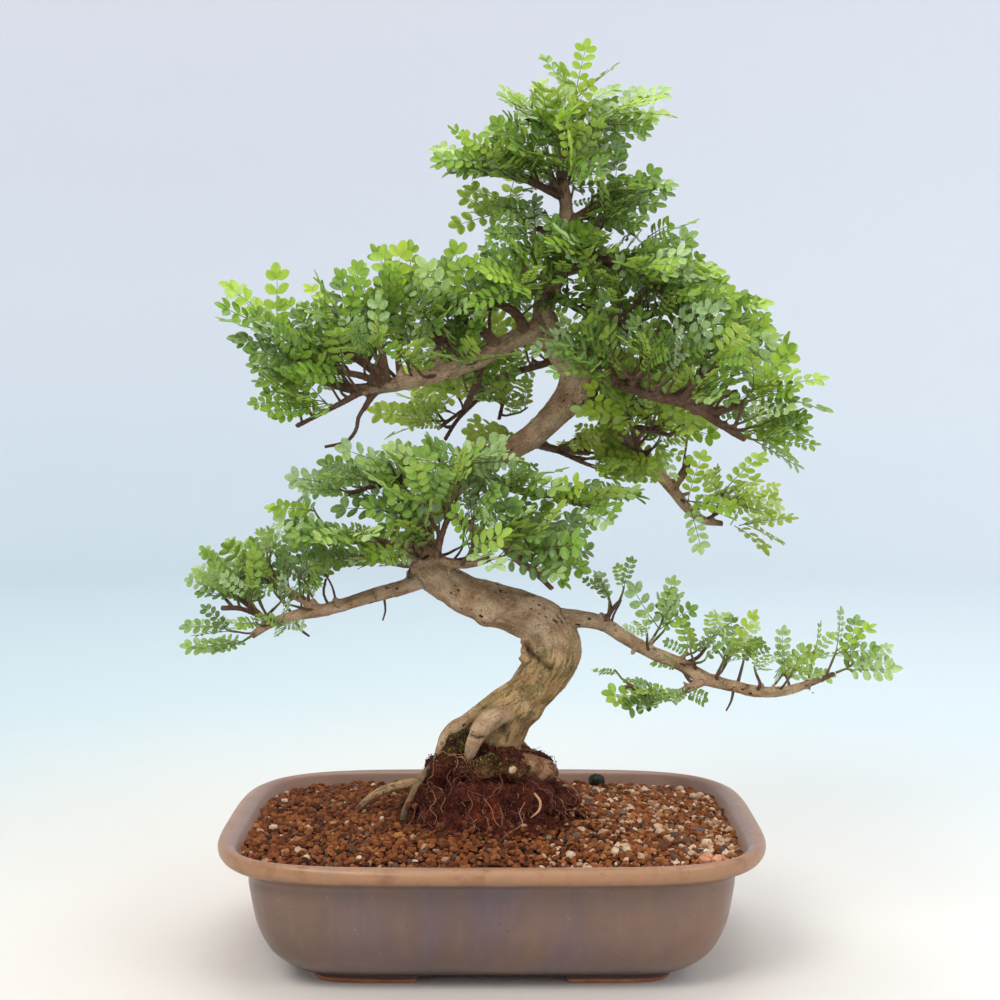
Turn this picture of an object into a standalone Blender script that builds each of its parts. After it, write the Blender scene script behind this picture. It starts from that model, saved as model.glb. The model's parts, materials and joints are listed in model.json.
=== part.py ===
"""Chinese pepper bonsai: a slanting, winding tree with leafy layers, in a glazed oblong pot.

Metres, +Z up, the tree's front towards -Y. Everything is placed from the middle of the pot's
footprint on the table, and one empty then carries it, so that the origin ends up under the
middle of the whole object's bounding box.
"""
import math
import random

import bmesh
import bpy
from mathutils import Matrix, Vector
from mathutils.bvhtree import BVHTree

MM = 0.001
UP = Vector((0, 0, 1))

# Pot
POT_WIDTH = 0.400
POT_DEPTH = 0.300
DEPTH_SHARE = 0.86      # how much of a sideways inset is also taken off the front and back
RIM_POWER = 3.75        # roundness of the outline at the rim: 2 is an oval, 10 nearly a box
FOOT_POWER = 10.0
FOOT_INSET = 0.071
RING_STEPS = 40
FLOOR_TOP = 0.019
FOOT_HEIGHT = 0.009
ARCH_HEIGHT = 0.006
FRONT_ARCH = 0.108      # length of the openings between the feet
SIDE_ARCH = 0.070
DRAIN_SPACING = 0.130
DRAIN_DIAMETER = 0.026

# Inset from the rim's outline and height, in millimetres: down the outside from the lip's crest
OUTER_PROFILE = [(3, 98.5), (0, 94.5), (3, 88.5), (23, 81), (25, 70), (30, 45), (38, 28),
                 (46, 19), (57, 11), (66, 7.5), (71, 0), (88, 0), (88, 9)]
# Up the inside, from the floor's edge to the lip's crest
INNER_PROFILE = [(58, 19), (46, 30), (34, 62), (19, 90), (15, 97), (9, 100)]

# Clearance between pieces that touch
GAP = 0.0004

# Soil
SOIL_EDGE = (19.5, 89.0)
SOIL_CREST = 0.101
SOIL_RELIEF = 0.0016
SOIL_RINGS = 6

# Drain screens
SCREEN_SIZE = 0.044
SCREEN_THICKNESS = 0.0014

# Root ball
BALL_CENTRE = Vector((-0.004, -0.002, 0))
BALL_HALF_WIDTH = 0.060
BALL_HALF_DEPTH = 0.051
BALL_BOTTOM = 0.060
BALL_STEPS = 20
BALL_RIDGE = 0.0022
# Share of the ball's half-width, and height in millimetres, above the soil
BALL_PROFILE = [(1.0, 103), (0.95, 114), (0.80, 129), (0.60, 142), (0.38, 151)]
BALL_TOP = 0.154

# Wood: points as x, y, z and radius in millimetres. A branch starts inside its parent.
TRUNK = [(-4, 8, 103, 25), (-6, 8, 125, 24), (-2, 6, 144, 21), (8, 3, 164, 18), (20, 0, 183, 17),
         (35, -2, 201, 18), (44, -3, 218, 20), (46, -4, 234, 19.5), (36, -5, 247, 17.5),
         (17, -6, 255, 16), (-4, -7, 263, 15.5), (-25, -8, 272, 14), (-43, -8, 284, 13),
         (-53, -6, 301, 12), (-54, -2, 319, 11.5), (-45, 3, 336, 10.5), (-28, 8, 351, 10),
         (-5, 12, 366, 9.5), (21, 15, 379, 9), (45, 16, 397, 9.5), (64, 15, 416, 10.5),
         (68, 13, 434, 10), (58, 10, 450, 9), (44, 8, 465, 9), (40, 7, 480, 8), (45, 8, 498, 7),
         (51, 9, 518, 6.3), (54, 9, 539, 5.6), (55, 8, 561, 5), (51, 6, 583, 4), (57, 4, 603, 3),
         (59, 2, 618, 2.2)]
KNUCKLE = [(44, 8, 462, 9), (39, 7, 476, 8.5), (37, 7, 487, 6.5)]

ROOTS = [
    [(8, -6, 178, 7), (2, -17, 169, 7), (-12, -23, 159, 6), (-24, -25, 148, 5.5), (-29, -24, 134, 5)],
    [(36, -6, 208, 8), (16, -11, 194, 8), (-5, -13, 181, 7.5), (-23, -12, 168, 7), (-36, -11, 155, 6.5),
     (-42, -14, 138, 5.5), (-49, -20, 122, 4.5), (-51, -23, 109, 3.2)],
    [(12, -4, 158, 8), (24, -16, 149, 7), (35, -22, 138, 6), (38, -24, 124, 5)],
    [(6, 8, 156, 8), (22, 16, 143, 7), (34, 22, 128, 5.5), (40, 24, 114, 4)],
    [(-8, 14, 158, 8), (-22, 28, 146, 6.5), (-30, 34, 128, 5)],
]

BRANCHES = {
    "low_left": [(-43, -8, 282, 6.4), (-66, -13, 274, 5.6), (-86, -18, 269, 5.2), (-106, -22, 263, 4.9),
                 (-125, -25, 258, 4.6), (-144, -28, 255, 4.2), (-163, -30, 249, 3.6),
                 (-177, -32, 240, 2.6)],
    "low_left_up": [(-128, -24, 259, 3.8), (-143, -20, 267, 3.4), (-155, -14, 273, 3),
                    (-168, -8, 279, 2.4)],
    "low_right": [(40, -6, 250, 8), (62, -10, 250, 6.5), (82, -16, 247, 5.6), (99, -22, 237, 5),
                  (116, -28, 228, 4.9), (137, -34, 220, 5), (156, -40, 210, 4.8), (177, -45, 205, 4.6),
                  (197, -49, 202, 4.2), (216, -52, 204, 3.6), (232, -54, 210, 2.8), (248, -56, 217, 2)],
    "low_right_under": [(158, -40, 210, 3.4), (144, -46, 204, 3), (129, -54, 200, 2.4)],
    "mid_left": [(44, 8, 471, 8), (25, 4, 462, 7.2), (4, 0, 451, 6.9), (-13, -4, 442, 6.6),
                 (-33, -8, 434, 6.2), (-55, -12, 428, 5.5), (-77, -16, 423, 4.8), (-100, -20, 421, 3.8),
                 (-120, -23, 425, 2.6)],
    "mid_left_curl": [(-84, -17, 422, 3.4), (-90, -24, 412, 3), (-102, -30, 405, 2.6),
                      (-112, -34, 411, 2.2)],
    "mid_left_up": [(-76, -16, 424, 4.2), (-90, -18, 437, 3.6), (-108, -20, 449, 2.8)],
    "mid_left_back": [(-16, -4, 442, 4.6), (-35, 8, 456, 3.8), (-53, 20, 465, 2.6)],
    "mid_left_front": [(4, 0, 453, 4.4), (-6, -16, 463, 3.8), (-19, -30, 470, 2.6)],
    "mid_left_hook": [(-6, -2, 444, 3.6), (-12, 4, 424, 3), (-21, 10, 406, 2.2)],
    "mid_right_low": [(65, 14, 419, 7.5), (76, 20, 409, 5.8), (90, 26, 396, 5.1), (103, 32, 382, 4.8),
                      (117, 38, 367, 4.6), (130, 42, 354, 4.6), (142, 44, 340, 4.3), (152, 46, 328, 4),
                      (164, 47, 319, 3.4), (180, 48, 316, 2.4)],
    "mid_right_knob": [(139, 44, 344, 3.6), (148, 40, 357, 3.4), (152, 38, 370, 2.6)],
    "mid_right_front": [(66, 12, 438, 6.5), (83, -15, 429, 5.6), (100, -40, 422, 5), (116, -58, 416, 4.8),
                        (130, -70, 413, 4.8), (144, -78, 408, 4.4), (158, -84, 398, 3.6),
                        (172, -88, 391, 2.6)],
    "mid_right_stub": [(134, -72, 412, 3.6), (144, -86, 427, 3.2), (155, -94, 436, 2.8)],
    "mid_right_side": [(150, -80, 403, 3.4), (164, -84, 408, 2.8), (175, -86, 412, 2.2)],
    "up_right": [(48, 8, 508, 5.6), (69, 4, 512, 4.6), (95, 0, 509, 4.2), (121, -4, 501, 3.4),
                 (144, -8, 490, 2.4)],
    "up_front_right": [(51, 9, 520, 4.6), (70, -25, 517, 4), (92, -50, 509, 2.8)],
    "back_right": [(67, 14, 425, 5.4), (89, 46, 426, 4.6), (116, 78, 422, 3)],
    "back_left": [(60, 11, 447, 5.2), (43, 46, 441, 4.4), (12, 84, 432, 3.4), (-12, 108, 424, 2.4)],
    "back_low": [(27, 15, 382, 3.8), (49, 46, 374, 3.2), (77, 76, 370, 2.4)],
    "up_front": [(45, 8, 490, 4.8), (38, -26, 490, 4), (26, -54, 492, 2.8)],
    "crown_right": [(55, 9, 541, 4.6), (67, 5, 550, 3.8), (82, -2, 560, 2.6)],
    "crown_left": [(54, 8, 564, 3.8), (37, 0, 570, 3.2), (23, -8, 578, 2.4)],
    "crown_back": [(54, 8, 558, 3.6), (52, 36, 569, 3), (48, 58, 580, 2.2)],
    "crown_top_right": [(56, 4, 600, 2.9), (70, -5, 606, 2.2)],
    "crown_front": [(52, 6, 579, 3.2), (54, -24, 579, 2.4)],
    "crown_low_left": [(54, 9, 533, 4), (36, 32, 542, 3), (20, 50, 550, 2.2)],
    "low_front": [(-53, -6, 305, 5), (-40, -28, 297, 3.6), (-20, -42, 294, 3.2), (-1, -51, 299, 2.4)],
    "low_front_left": [(-38, -30, 297, 3.2), (-57, -38, 293, 2.8), (-77, -43, 296, 2.2)],
    "low_front_right": [(-45, 3, 335, 5), (-25, -18, 325, 3.8), (-3, -34, 314, 3.2), (16, -44, 303, 2.4)],
    "low_up_left": [(-52, -1, 327, 5), (-62, -14, 339, 3.8), (-68, -24, 352, 2.6)],
    "low_right_up": [(-18, 9, 357, 4.6), (4, -8, 351, 3.8), (28, -18, 344, 2.8)],
    "low_up": [(-39, 4, 342, 4.2), (-32, -22, 352, 3.2), (-22, -40, 362, 2.4)],
}

THICK_BRANCH = 4.5      # branches thinner than this at their start have four sides

# Leafy shoots. These branches end in a bare, pruned stub; all others end in a shoot.
BARE_ENDS = {"mid_left_curl", "mid_left_hook", "mid_right_stub", "mid_right_knob"}
# Shoots from a branch's side: branch, share of its length, and side (1 left, -1 right, 0 upwards)
SIDE_SHOOTS = [("low_left", 0.62, 0), ("low_right", 0.36, 0), ("low_right", 0.60, 0),
               ("low_right", 0.78, 1), ("mid_left", 0.62, 0), ("mid_left", 0.90, -1),
               ("mid_right_low", 0.93, 0), ("up_right", 0.55, 0), ("mid_right_front", 0.55, 0)]
SIDE_STUB = 0.007
STUB_RADIUS = 0.0017
SHOOT_LENGTH = 0.020
SHOOT_RADIUS = 0.0012
LEAVES_AT_END = 3
LEAVES_INSIDE = 2       # on side shoots and on these ends, which lie behind other foliage
INSIDE_ENDS = {"back_left", "back_low", "low_up", "low_up_left", "low_right_up", "low_front_right",
               "low_front", "crown_front", "crown_back", "crown_low_left", "up_front", "up_front_right",
               "mid_left_back", "mid_left_front", "low_right_under", "low_left_up", "back_right"}
LOWEST_SLOPE = -0.3     # no leaf points down more steeply than this
LEAF_SINK = 0.003       # how far the end leaf's stalk reaches back into the shoot
GOLDEN_ANGLE = math.radians(137.5)

# Leaf: one thin blade, its outline cut to the rib between the leaflets. Millimetres.
LEAF_LENGTH = 47
LEAF_THICKNESS = 0.8
RIB_HALF_WIDTH = 0.9
LEAFLET_STARTS = [8, 18.5, 28.5]
LEAFLET_PITCH = 9.5
LEAFLET_REACH = [9.5, 10.5, 9.0]
END_HALF_WIDTH = 4.6
LEAF_ARCH = 5           # drop of the tip
LEAF_FOLD = 0.22        # rise of the leaflets away from the rib


def clear_scene():
    for thing in list(bpy.data.objects):
        bpy.data.objects.remove(thing)


def make_material(name, colour, roughness):
    material = bpy.data.materials.new(name)
    material.use_nodes = True
    shader = material.node_tree.nodes["Principled BSDF"]
    shader.inputs["Base Color"].default_value = (*colour, 1)
    shader.inputs["Roughness"].default_value = roughness
    shader.inputs["Metallic"].default_value = 0
    return material


def add_mesh(name, mesh, collection):
    thing = bpy.data.objects.new(name, mesh)
    collection.objects.link(thing)
    return thing


def mesh_of(bm, name):
    mesh = bpy.data.meshes.new(name)
    bm.to_mesh(mesh)
    bm.free()
    return mesh


def finish(thing, material, parent, angle=40):
    """Give the piece its material, its shading and its place under the parent."""
    thing.data.materials.clear()
    thing.data.materials.append(material)
    thing.data.shade_smooth()
    thing.data.set_sharp_from_angle(angle=math.radians(angle))
    thing.parent = parent


def evaluated_mesh(thing, name):
    """The object's mesh with its modifiers, or its curve with its bevel, loose caps welded."""
    bpy.context.view_layer.update()
    depsgraph = bpy.context.evaluated_depsgraph_get()
    mesh = bpy.data.meshes.new_from_object(thing.evaluated_get(depsgraph))
    bm = bmesh.new()
    bm.from_mesh(mesh)
    bmesh.ops.remove_doubles(bm, verts=bm.verts, dist=0.000001)
    bm.to_mesh(mesh)
    bm.free()
    mesh.name = name
    return mesh


def tube(name, points, roundness, collection):
    """A round bar through points of x, y, z and radius, as a closed mesh."""
    curve = bpy.data.curves.new(name, "CURVE")
    curve.dimensions = "3D"
    curve.bevel_depth = 1
    curve.bevel_resolution = roundness
    curve.use_fill_caps = True
    spline = curve.splines.new("POLY")
    spline.points.add(len(points) - 1)
    for spline_point, (x, y, z, radius) in zip(spline.points, points):
        spline_point.co = (x, y, z, 1)
        spline_point.radius = radius
    bar = add_mesh(name, curve, collection)
    mesh = evaluated_mesh(bar, name)
    place = bar.matrix_world.copy()
    bpy.data.objects.remove(bar)
    solid = add_mesh(name, mesh, collection)
    solid.matrix_world = place
    return solid


def combine(body, operation, others, solver):
    """Join or cut the body with every object of the collection, and remove them."""
    modifier = body.modifiers.new(operation.lower(), "BOOLEAN")
    modifier.operation = operation
    modifier.operand_type = "COLLECTION"
    modifier.collection = others
    modifier.solver = solver
    mesh = evaluated_mesh(body, body.name)
    body.modifiers.clear()
    body.data = mesh
    for other in list(others.objects):
        bpy.data.objects.remove(other)


def loft(name, start, rings, end, collection):
    """A closed body from a start point, through rings of equal count, to an end point."""
    bm = bmesh.new()
    loops = [[bm.verts.new(point) for point in ring] for ring in rings]
    first = bm.verts.new(start)
    last = bm.verts.new(end)
    count = len(rings[0])
    for step in range(count):
        after = (step + 1) % count
        bm.faces.new((first, loops[0][after], loops[0][step]))
        bm.faces.new((last, loops[-1][step], loops[-1][after]))
        for lower, upper in zip(loops, loops[1:]):
            bm.faces.new((lower[step], lower[after], upper[after]))
            bm.faces.new((lower[step], upper[after], upper[step]))
    bmesh.ops.recalc_face_normals(bm, faces=bm.faces)
    return add_mesh(name, mesh_of(bm, name), collection)


# Pot

def pot_ring(inset, height):
    """The pot's outline pulled in by inset: the smaller it gets, the tighter its corners."""
    share = inset / FOOT_INSET
    half_width = POT_WIDTH / 2 - inset
    half_depth = POT_DEPTH / 2 - inset * DEPTH_SHARE
    bend = 2 / (RIM_POWER + (FOOT_POWER - RIM_POWER) * share)
    ring = []
    for step in range(RING_STEPS):
        angle = math.tau * step / RING_STEPS
        across = math.cos(angle)
        along = math.sin(angle)
        x = half_width * math.copysign(abs(across) ** bend, across)
        y = half_depth * math.copysign(abs(along) ** bend, along)
        ring.append(Vector((x, y, height)))
    return ring


def cutter_box(name, size, centre, collection):
    bm = bmesh.new()
    bmesh.ops.create_cube(bm, size=1)
    bmesh.ops.scale(bm, vec=size, verts=bm.verts)
    bmesh.ops.translate(bm, vec=centre, verts=bm.verts)
    cutter = add_mesh(name, mesh_of(bm, name), collection)
    cutter.display_type = "WIRE"
    cutter.hide_render = True
    return cutter


def cutter_drum(name, diameter, height, centre, collection):
    bm = bmesh.new()
    bmesh.ops.create_cone(bm, cap_ends=True, segments=12, radius1=diameter / 2,
                          radius2=diameter / 2, depth=height)
    bmesh.ops.translate(bm, vec=centre, verts=bm.verts)
    cutter = add_mesh(name, mesh_of(bm, name), collection)
    cutter.display_type = "WIRE"
    cutter.hide_render = True
    return cutter


def build_pot(collection, cutters):
    rings = [pot_ring(inset * MM, height * MM) for inset, height in INNER_PROFILE + OUTER_PROFILE]
    pot = loft("pot", (0, 0, FLOOR_TOP), rings, (0, 0, FOOT_HEIGHT), collection)
    arch = 2 * ARCH_HEIGHT
    cutter_box("arch_front_back", (FRONT_ARCH, POT_DEPTH, arch), (0, 0, 0), cutters)
    cutter_box("arch_sides", (POT_WIDTH, SIDE_ARCH, arch), (0, 0, 0), cutters)
    for side in (-1, 1):
        place = (side * DRAIN_SPACING / 2, 0, FLOOR_TOP)
        cutter_drum("drain_%+d" % side, DRAIN_DIAMETER, 2 * FLOOR_TOP, place, cutters)
    combine(pot, "DIFFERENCE", cutters, "EXACT")
    return pot


def build_screen(name, centre, collection):
    """A square screen over a drain hole: a plate of five by five cells, four of them open."""
    bm = bmesh.new()
    cells = 5
    bmesh.ops.create_grid(bm, x_segments=cells, y_segments=cells, size=SCREEN_SIZE / 2)
    cell = SCREEN_SIZE / cells
    openings = [face for face in bm.faces
                if abs(abs(face.calc_center_median().x) - cell) < cell / 2
                and abs(abs(face.calc_center_median().y) - cell) < cell / 2]
    bmesh.ops.delete(bm, geom=openings, context="FACES")
    sheet = bmesh.ops.extrude_face_region(bm, geom=bm.faces[:])
    raised = [item for item in sheet["geom"] if isinstance(item, bmesh.types.BMVert)]
    bmesh.ops.translate(bm, vec=(0, 0, SCREEN_THICKNESS), verts=raised)
    bmesh.ops.translate(bm, vec=centre, verts=bm.verts)
    bmesh.ops.recalc_face_normals(bm, faces=bm.faces)
    return add_mesh(name, mesh_of(bm, name), collection)


# Soil and root ball

def ball_outline(angle, share, height, spread=0.0):
    """A point of the root ball's outline, slightly lobed, at a share of its full half-width."""
    lobes = 1 + 0.05 * math.sin(3 * angle + 0.8) + 0.03 * math.sin(5 * angle)
    x = math.cos(angle) * (BALL_HALF_WIDTH * share * lobes + spread)
    y = math.sin(angle) * (BALL_HALF_DEPTH * share * lobes + spread)
    return BALL_CENTRE + Vector((x, y, height))


def soil_relief(x, y):
    """Coarse crumbs, as crossing waves of unlike lengths."""
    waves = math.sin(x * 310 + 2 * math.sin(y * 190)) * math.sin(y * 350 + 1.7 * math.sin(x * 170))
    return SOIL_RELIEF * waves


def build_soil(collection, cutters):
    clearance = 0.0006
    side = [pot_ring(inset * MM + clearance, height * MM + clearance / 2)
            for inset, height in INNER_PROFILE if height < SOIL_EDGE[1]]
    edge = pot_ring(SOIL_EDGE[0] * MM + clearance, SOIL_EDGE[1] * MM)
    top = []
    for number in range(1, SOIL_RINGS + 1):
        share = number / (SOIL_RINGS + 1)
        ring = []
        for step, rim in enumerate(edge):
            inner = ball_outline(math.tau * step / RING_STEPS, 1, 0, GAP)
            x = rim.x + (inner.x - rim.x) * share
            y = rim.y + (inner.y - rim.y) * share
            rise = (SOIL_CREST - SOIL_EDGE[1] * MM) * math.sin(share * math.pi / 2)
            ring.append(Vector((x, y, SOIL_EDGE[1] * MM + rise + soil_relief(x, y))))
        top.append(ring)
    angles = [math.tau * step / RING_STEPS for step in range(RING_STEPS)]
    mouth = [ball_outline(angle, 1, SOIL_CREST, GAP) for angle in angles]
    pocket = [ball_outline(angle, 1, BALL_BOTTOM - GAP, GAP) for angle in angles]
    start = (0, 0, FLOOR_TOP + clearance / 2)
    end = BALL_CENTRE + Vector((0, 0, BALL_BOTTOM - GAP))
    soil = loft("soil", start, side + [edge] + top + [mouth, pocket], end, collection)
    for side_sign in (-1, 1):
        size = SCREEN_SIZE + 2 * GAP
        height = 2 * (SCREEN_THICKNESS + 2 * GAP)
        cutter_box("screen_bed", (size, size, height),
                   (side_sign * DRAIN_SPACING / 2, 0, FLOOR_TOP), cutters)
    combine(soil, "DIFFERENCE", cutters, "EXACT")
    return soil


def build_root_ball(collection):
    rings = []
    for share, height in [(0.97, BALL_BOTTOM / MM)] + BALL_PROFILE:
        ring = []
        for step in range(BALL_STEPS):
            angle = math.tau * step / BALL_STEPS
            above = height > SOIL_CREST / MM + 5
            ridge = BALL_RIDGE * (1 if step % 2 else -1) if above else 0
            ring.append(ball_outline(angle, share, height * MM, ridge))
        rings.append(ring)
    start = BALL_CENTRE + Vector((0, 0, BALL_BOTTOM))
    end = BALL_CENTRE + Vector((0, 0, BALL_TOP))
    return loft("root_ball", start, rings, end, collection)


# Wood

def in_metres(points):
    return [tuple(value * MM for value in point) for point in points]


def along(points, share):
    """The place, direction and radius at a share of a route's length."""
    spots = [Vector(point[:3]) for point in points]
    lengths = [(b - a).length for a, b in zip(spots, spots[1:])]
    left = share * sum(lengths)
    for number, length in enumerate(lengths):
        if left <= length or number == len(lengths) - 1:
            part = min(left / length, 1)
            radius = points[number][3] + (points[number + 1][3] - points[number][3]) * part
            return spots[number].lerp(spots[number + 1], part), spots[number + 1] - spots[number], radius
        left -= length


def shoot_lines():
    """Name, start, direction and stub of each leafy shoot: first the ends, then the sides."""
    routes = {name: in_metres(points) for name, points in BRANCHES.items() if name not in BARE_ENDS}
    routes["leader"] = in_metres(TRUNK)
    lines = []
    for name, points in routes.items():
        place, tangent, radius = along(points, 1)
        lines.append((name, place, tangent.normalized(), None))
    for name, share, side in SIDE_SHOOTS:
        place, tangent, radius = along(in_metres(BRANCHES[name]), share)
        tangent.normalize()
        sideways = UP.cross(tangent).normalized()
        direction = (0.45 * tangent + 0.9 * side * sideways + (0.35 if side else 0.9) * UP).normalized()
        end = place + direction * (radius + SIDE_STUB)
        lines.append(("%s_%02d" % (name, round(share * 100)), end, direction, place))
    return lines


def build_wood(lines, collection, growth):
    """Trunk, roots, root ball, branches and the stubs under the side shoots, grown as one."""
    trunk = tube("trunk", in_metres(TRUNK), 2, collection)
    tube("knuckle", in_metres(KNUCKLE), 1, growth)
    for number, points in enumerate(ROOTS):
        tube("root_%d" % number, in_metres(points), 1, growth)
    for name, points in BRANCHES.items():
        roundness = 1 if points[0][3] >= THICK_BRANCH else 0
        tube("branch_" + name, in_metres(points), roundness, growth)
    for name, end, direction, place in lines:
        if place is not None:
            tube("stub_" + name, [(*place, STUB_RADIUS), (*end, STUB_RADIUS)], 0, growth)
    build_root_ball(growth)
    combine(trunk, "UNION", growth, "MANIFOLD")
    return trunk


# Leaves

def leaf_template():
    """One pinnate leaf along +X, its stalk at the origin and its upper side up, in metres."""
    bm = bmesh.new()

    def point(x, y):
        height = LEAF_FOLD * max(abs(y) - RIB_HALF_WIDTH, 0) - LEAF_ARCH * (x / LEAF_LENGTH) ** 2
        return bm.verts.new((x * MM, y * MM, height * MM))

    starts = LEAFLET_STARTS + [LEAFLET_STARTS[-1] + LEAFLET_PITCH]
    rib = [(point(x, -RIB_HALF_WIDTH), point(x, RIB_HALF_WIDTH)) for x in [0] + starts]
    triangles = []
    for (right, left), (next_right, next_left) in zip(rib, rib[1:]):
        triangles += [(right, next_right, next_left), (right, next_left, left)]
    for number, reach in enumerate(LEAFLET_REACH):
        for side in (-1, 1):
            base = rib[number + 1][(side + 1) // 2]
            top = rib[number + 2][(side + 1) // 2]
            near = point(starts[number] + 2.0, side * 0.88 * reach)
            far = point(starts[number] + 0.9 * LEAFLET_PITCH, side * reach)
            triangles += [(base, near, far)[::-side], (base, far, top)[::-side]]
    right, left = rib[-1]
    widest = starts[-1] + 5
    low, tip, high = point(widest, -END_HALF_WIDTH), point(LEAF_LENGTH, 0), point(widest, END_HALF_WIDTH)
    triangles += [(right, low, left), (low, high, left), (low, tip, high)]
    for corners in triangles:
        bm.faces.new(corners)
    sheet = bmesh.ops.extrude_face_region(bm, geom=bm.faces[:])
    raised = [item for item in sheet["geom"] if isinstance(item, bmesh.types.BMVert)]
    bmesh.ops.translate(bm, vec=(0, 0, LEAF_THICKNESS * MM), verts=raised)
    bmesh.ops.triangulate(bm, faces=[face for face in bm.faces if len(face.verts) > 3])
    bmesh.ops.recalc_face_normals(bm, faces=bm.faces)
    return mesh_of(bm, "leaf")


def shoot_stem(start, direction, length):
    """Three points along a shoot that bends up towards the light."""
    middle = start + direction * length * 0.5
    bent = (direction + 0.35 * UP).normalized()
    return [start, middle, middle + bent * length * 0.5]


def leaf_placements(name, stem):
    """Where the leaves of a shoot sit: the end leaf, then those in a spiral below it."""
    draw = random.Random(name)
    tip_direction = (stem[2] - stem[1]).normalized()
    turn = draw.uniform(0, math.tau)
    side = tip_direction.orthogonal().normalized()
    placements = []
    for number, share in enumerate((1.0, 0.8, 0.62, 0.44, 0.28, 0.9, 0.7, 0.5)):
        base = stem[1].lerp(stem[2], 2 * share - 1) if share > 0.5 else stem[0].lerp(stem[1], 2 * share)
        base -= tip_direction * (LEAF_SINK if number == 0 else 0)
        spin = Matrix.Rotation(turn + GOLDEN_ANGLE * number, 3, tip_direction)
        radial = spin @ side
        opening = 0 if number == 0 else math.radians(draw.uniform(48, 68))
        direction = tip_direction * math.cos(opening) + radial * math.sin(opening)
        direction.z = max(direction.z * 0.75 + draw.uniform(-0.05, 0.15), LOWEST_SLOPE)
        direction.normalize()
        facing = UP - 0.5 * Vector((direction.x, direction.y, 0)).normalized()
        normal = (facing - facing.dot(direction) * direction).normalized()
        normal = Matrix.Rotation(math.radians(draw.uniform(-18, 18)), 3, direction) @ normal
        size = draw.uniform(0.86, 1.04)
        frame = Matrix((direction, normal.cross(direction), normal)).transposed().to_4x4()
        placements.append(Matrix.Translation(base) @ frame @ Matrix.Scale(size, 4))
    return placements


def tree_of(mesh, matrix=Matrix()):
    points = [matrix @ vertex.co for vertex in mesh.vertices]
    return BVHTree.FromPolygons(points, [face.vertices[:] for face in mesh.polygons])


def build_shoot(line, leaf, taken, collection, growth):
    """A leafy shoot: a green stem with the leaves that stay clear of all that is in place."""
    name, place, direction, stub = line
    stem = shoot_stem(place + direction * GAP, direction, SHOOT_LENGTH)
    radii = (SHOOT_RADIUS, 0.9 * SHOOT_RADIUS, 0.75 * SHOOT_RADIUS)
    shoot = tube("spray_" + name, [(*spot, radius) for spot, radius in zip(stem, radii)], 0, collection)
    wanted = LEAVES_AT_END if stub is None and name not in INSIDE_ENDS else LEAVES_INSIDE
    own = []
    for number, matrix in enumerate(leaf_placements(name, stem)):
        blade = tree_of(leaf, matrix)
        if len(own) < wanted and not any(blade.overlap(other) for other in taken + own):
            own.append(blade)
            add_mesh("leaf_%s_%d" % (name, number), leaf.copy(), growth).matrix_world = matrix
    combine(shoot, "UNION", growth, "MANIFOLD")
    return shoot


def main():
    clear_scene()
    model = bpy.data.collections.new("chinese_pepper_bonsai")
    cutters = bpy.data.collections.new("cutters")
    growth = bpy.data.collections.new("growth")
    for collection in (model, cutters, growth):
        bpy.context.scene.collection.children.link(collection)

    glaze = make_material("glaze", (0.16, 0.11, 0.10), 0.25)
    earth = make_material("earth", (0.20, 0.075, 0.035), 0.9)
    plastic = make_material("black_plastic", (0.03, 0.03, 0.03), 0.6)
    bark = make_material("bark", (0.24, 0.16, 0.09), 0.8)
    foliage = make_material("foliage", (0.11, 0.27, 0.04), 0.4)

    carrier = bpy.data.objects.new("bonsai", None)
    model.objects.link(carrier)

    lines = shoot_lines()
    solids = [(build_pot(model, cutters), glaze), (build_soil(model, cutters), earth)]
    for side, name in ((-1, "drain_screen_left"), (1, "drain_screen_right")):
        centre = (side * DRAIN_SPACING / 2, 0, FLOOR_TOP + GAP)
        solids.append((build_screen(name, centre, model), plastic))
    solids.append((build_wood(lines, model, growth), bark))

    leaf = leaf_template()
    taken = [tree_of(solid.data) for solid, material in solids]
    for line in lines:
        shoot = build_shoot(line, leaf, taken, model, growth)
        taken.append(tree_of(shoot.data))
        solids.append((shoot, foliage))

    for solid, material in solids:
        finish(solid, material, carrier)
    corners = [vertex.co for solid, material in solids for vertex in solid.data.vertices]
    low = Vector([min(corner[axis] for corner in corners) for axis in range(3)])
    high = Vector([max(corner[axis] for corner in corners) for axis in range(3)])
    carrier.location = (-(low.x + high.x) / 2, -(low.y + high.y) / 2, -low.z)


main()
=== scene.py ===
"""Looks of the Chinese pepper bonsai: finish of every surface, and the fine pieces.

Metres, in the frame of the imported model: +Z up, the tree's front towards -Y. The wood's routes
and the places of the leafy shoots repeat the model's own, and every piece stands where the
solid that it replaces stands.
"""
import json
import math
import random

import bmesh
import bpy
import numpy as np
from mathutils import Matrix, Vector, kdtree, noise

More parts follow.
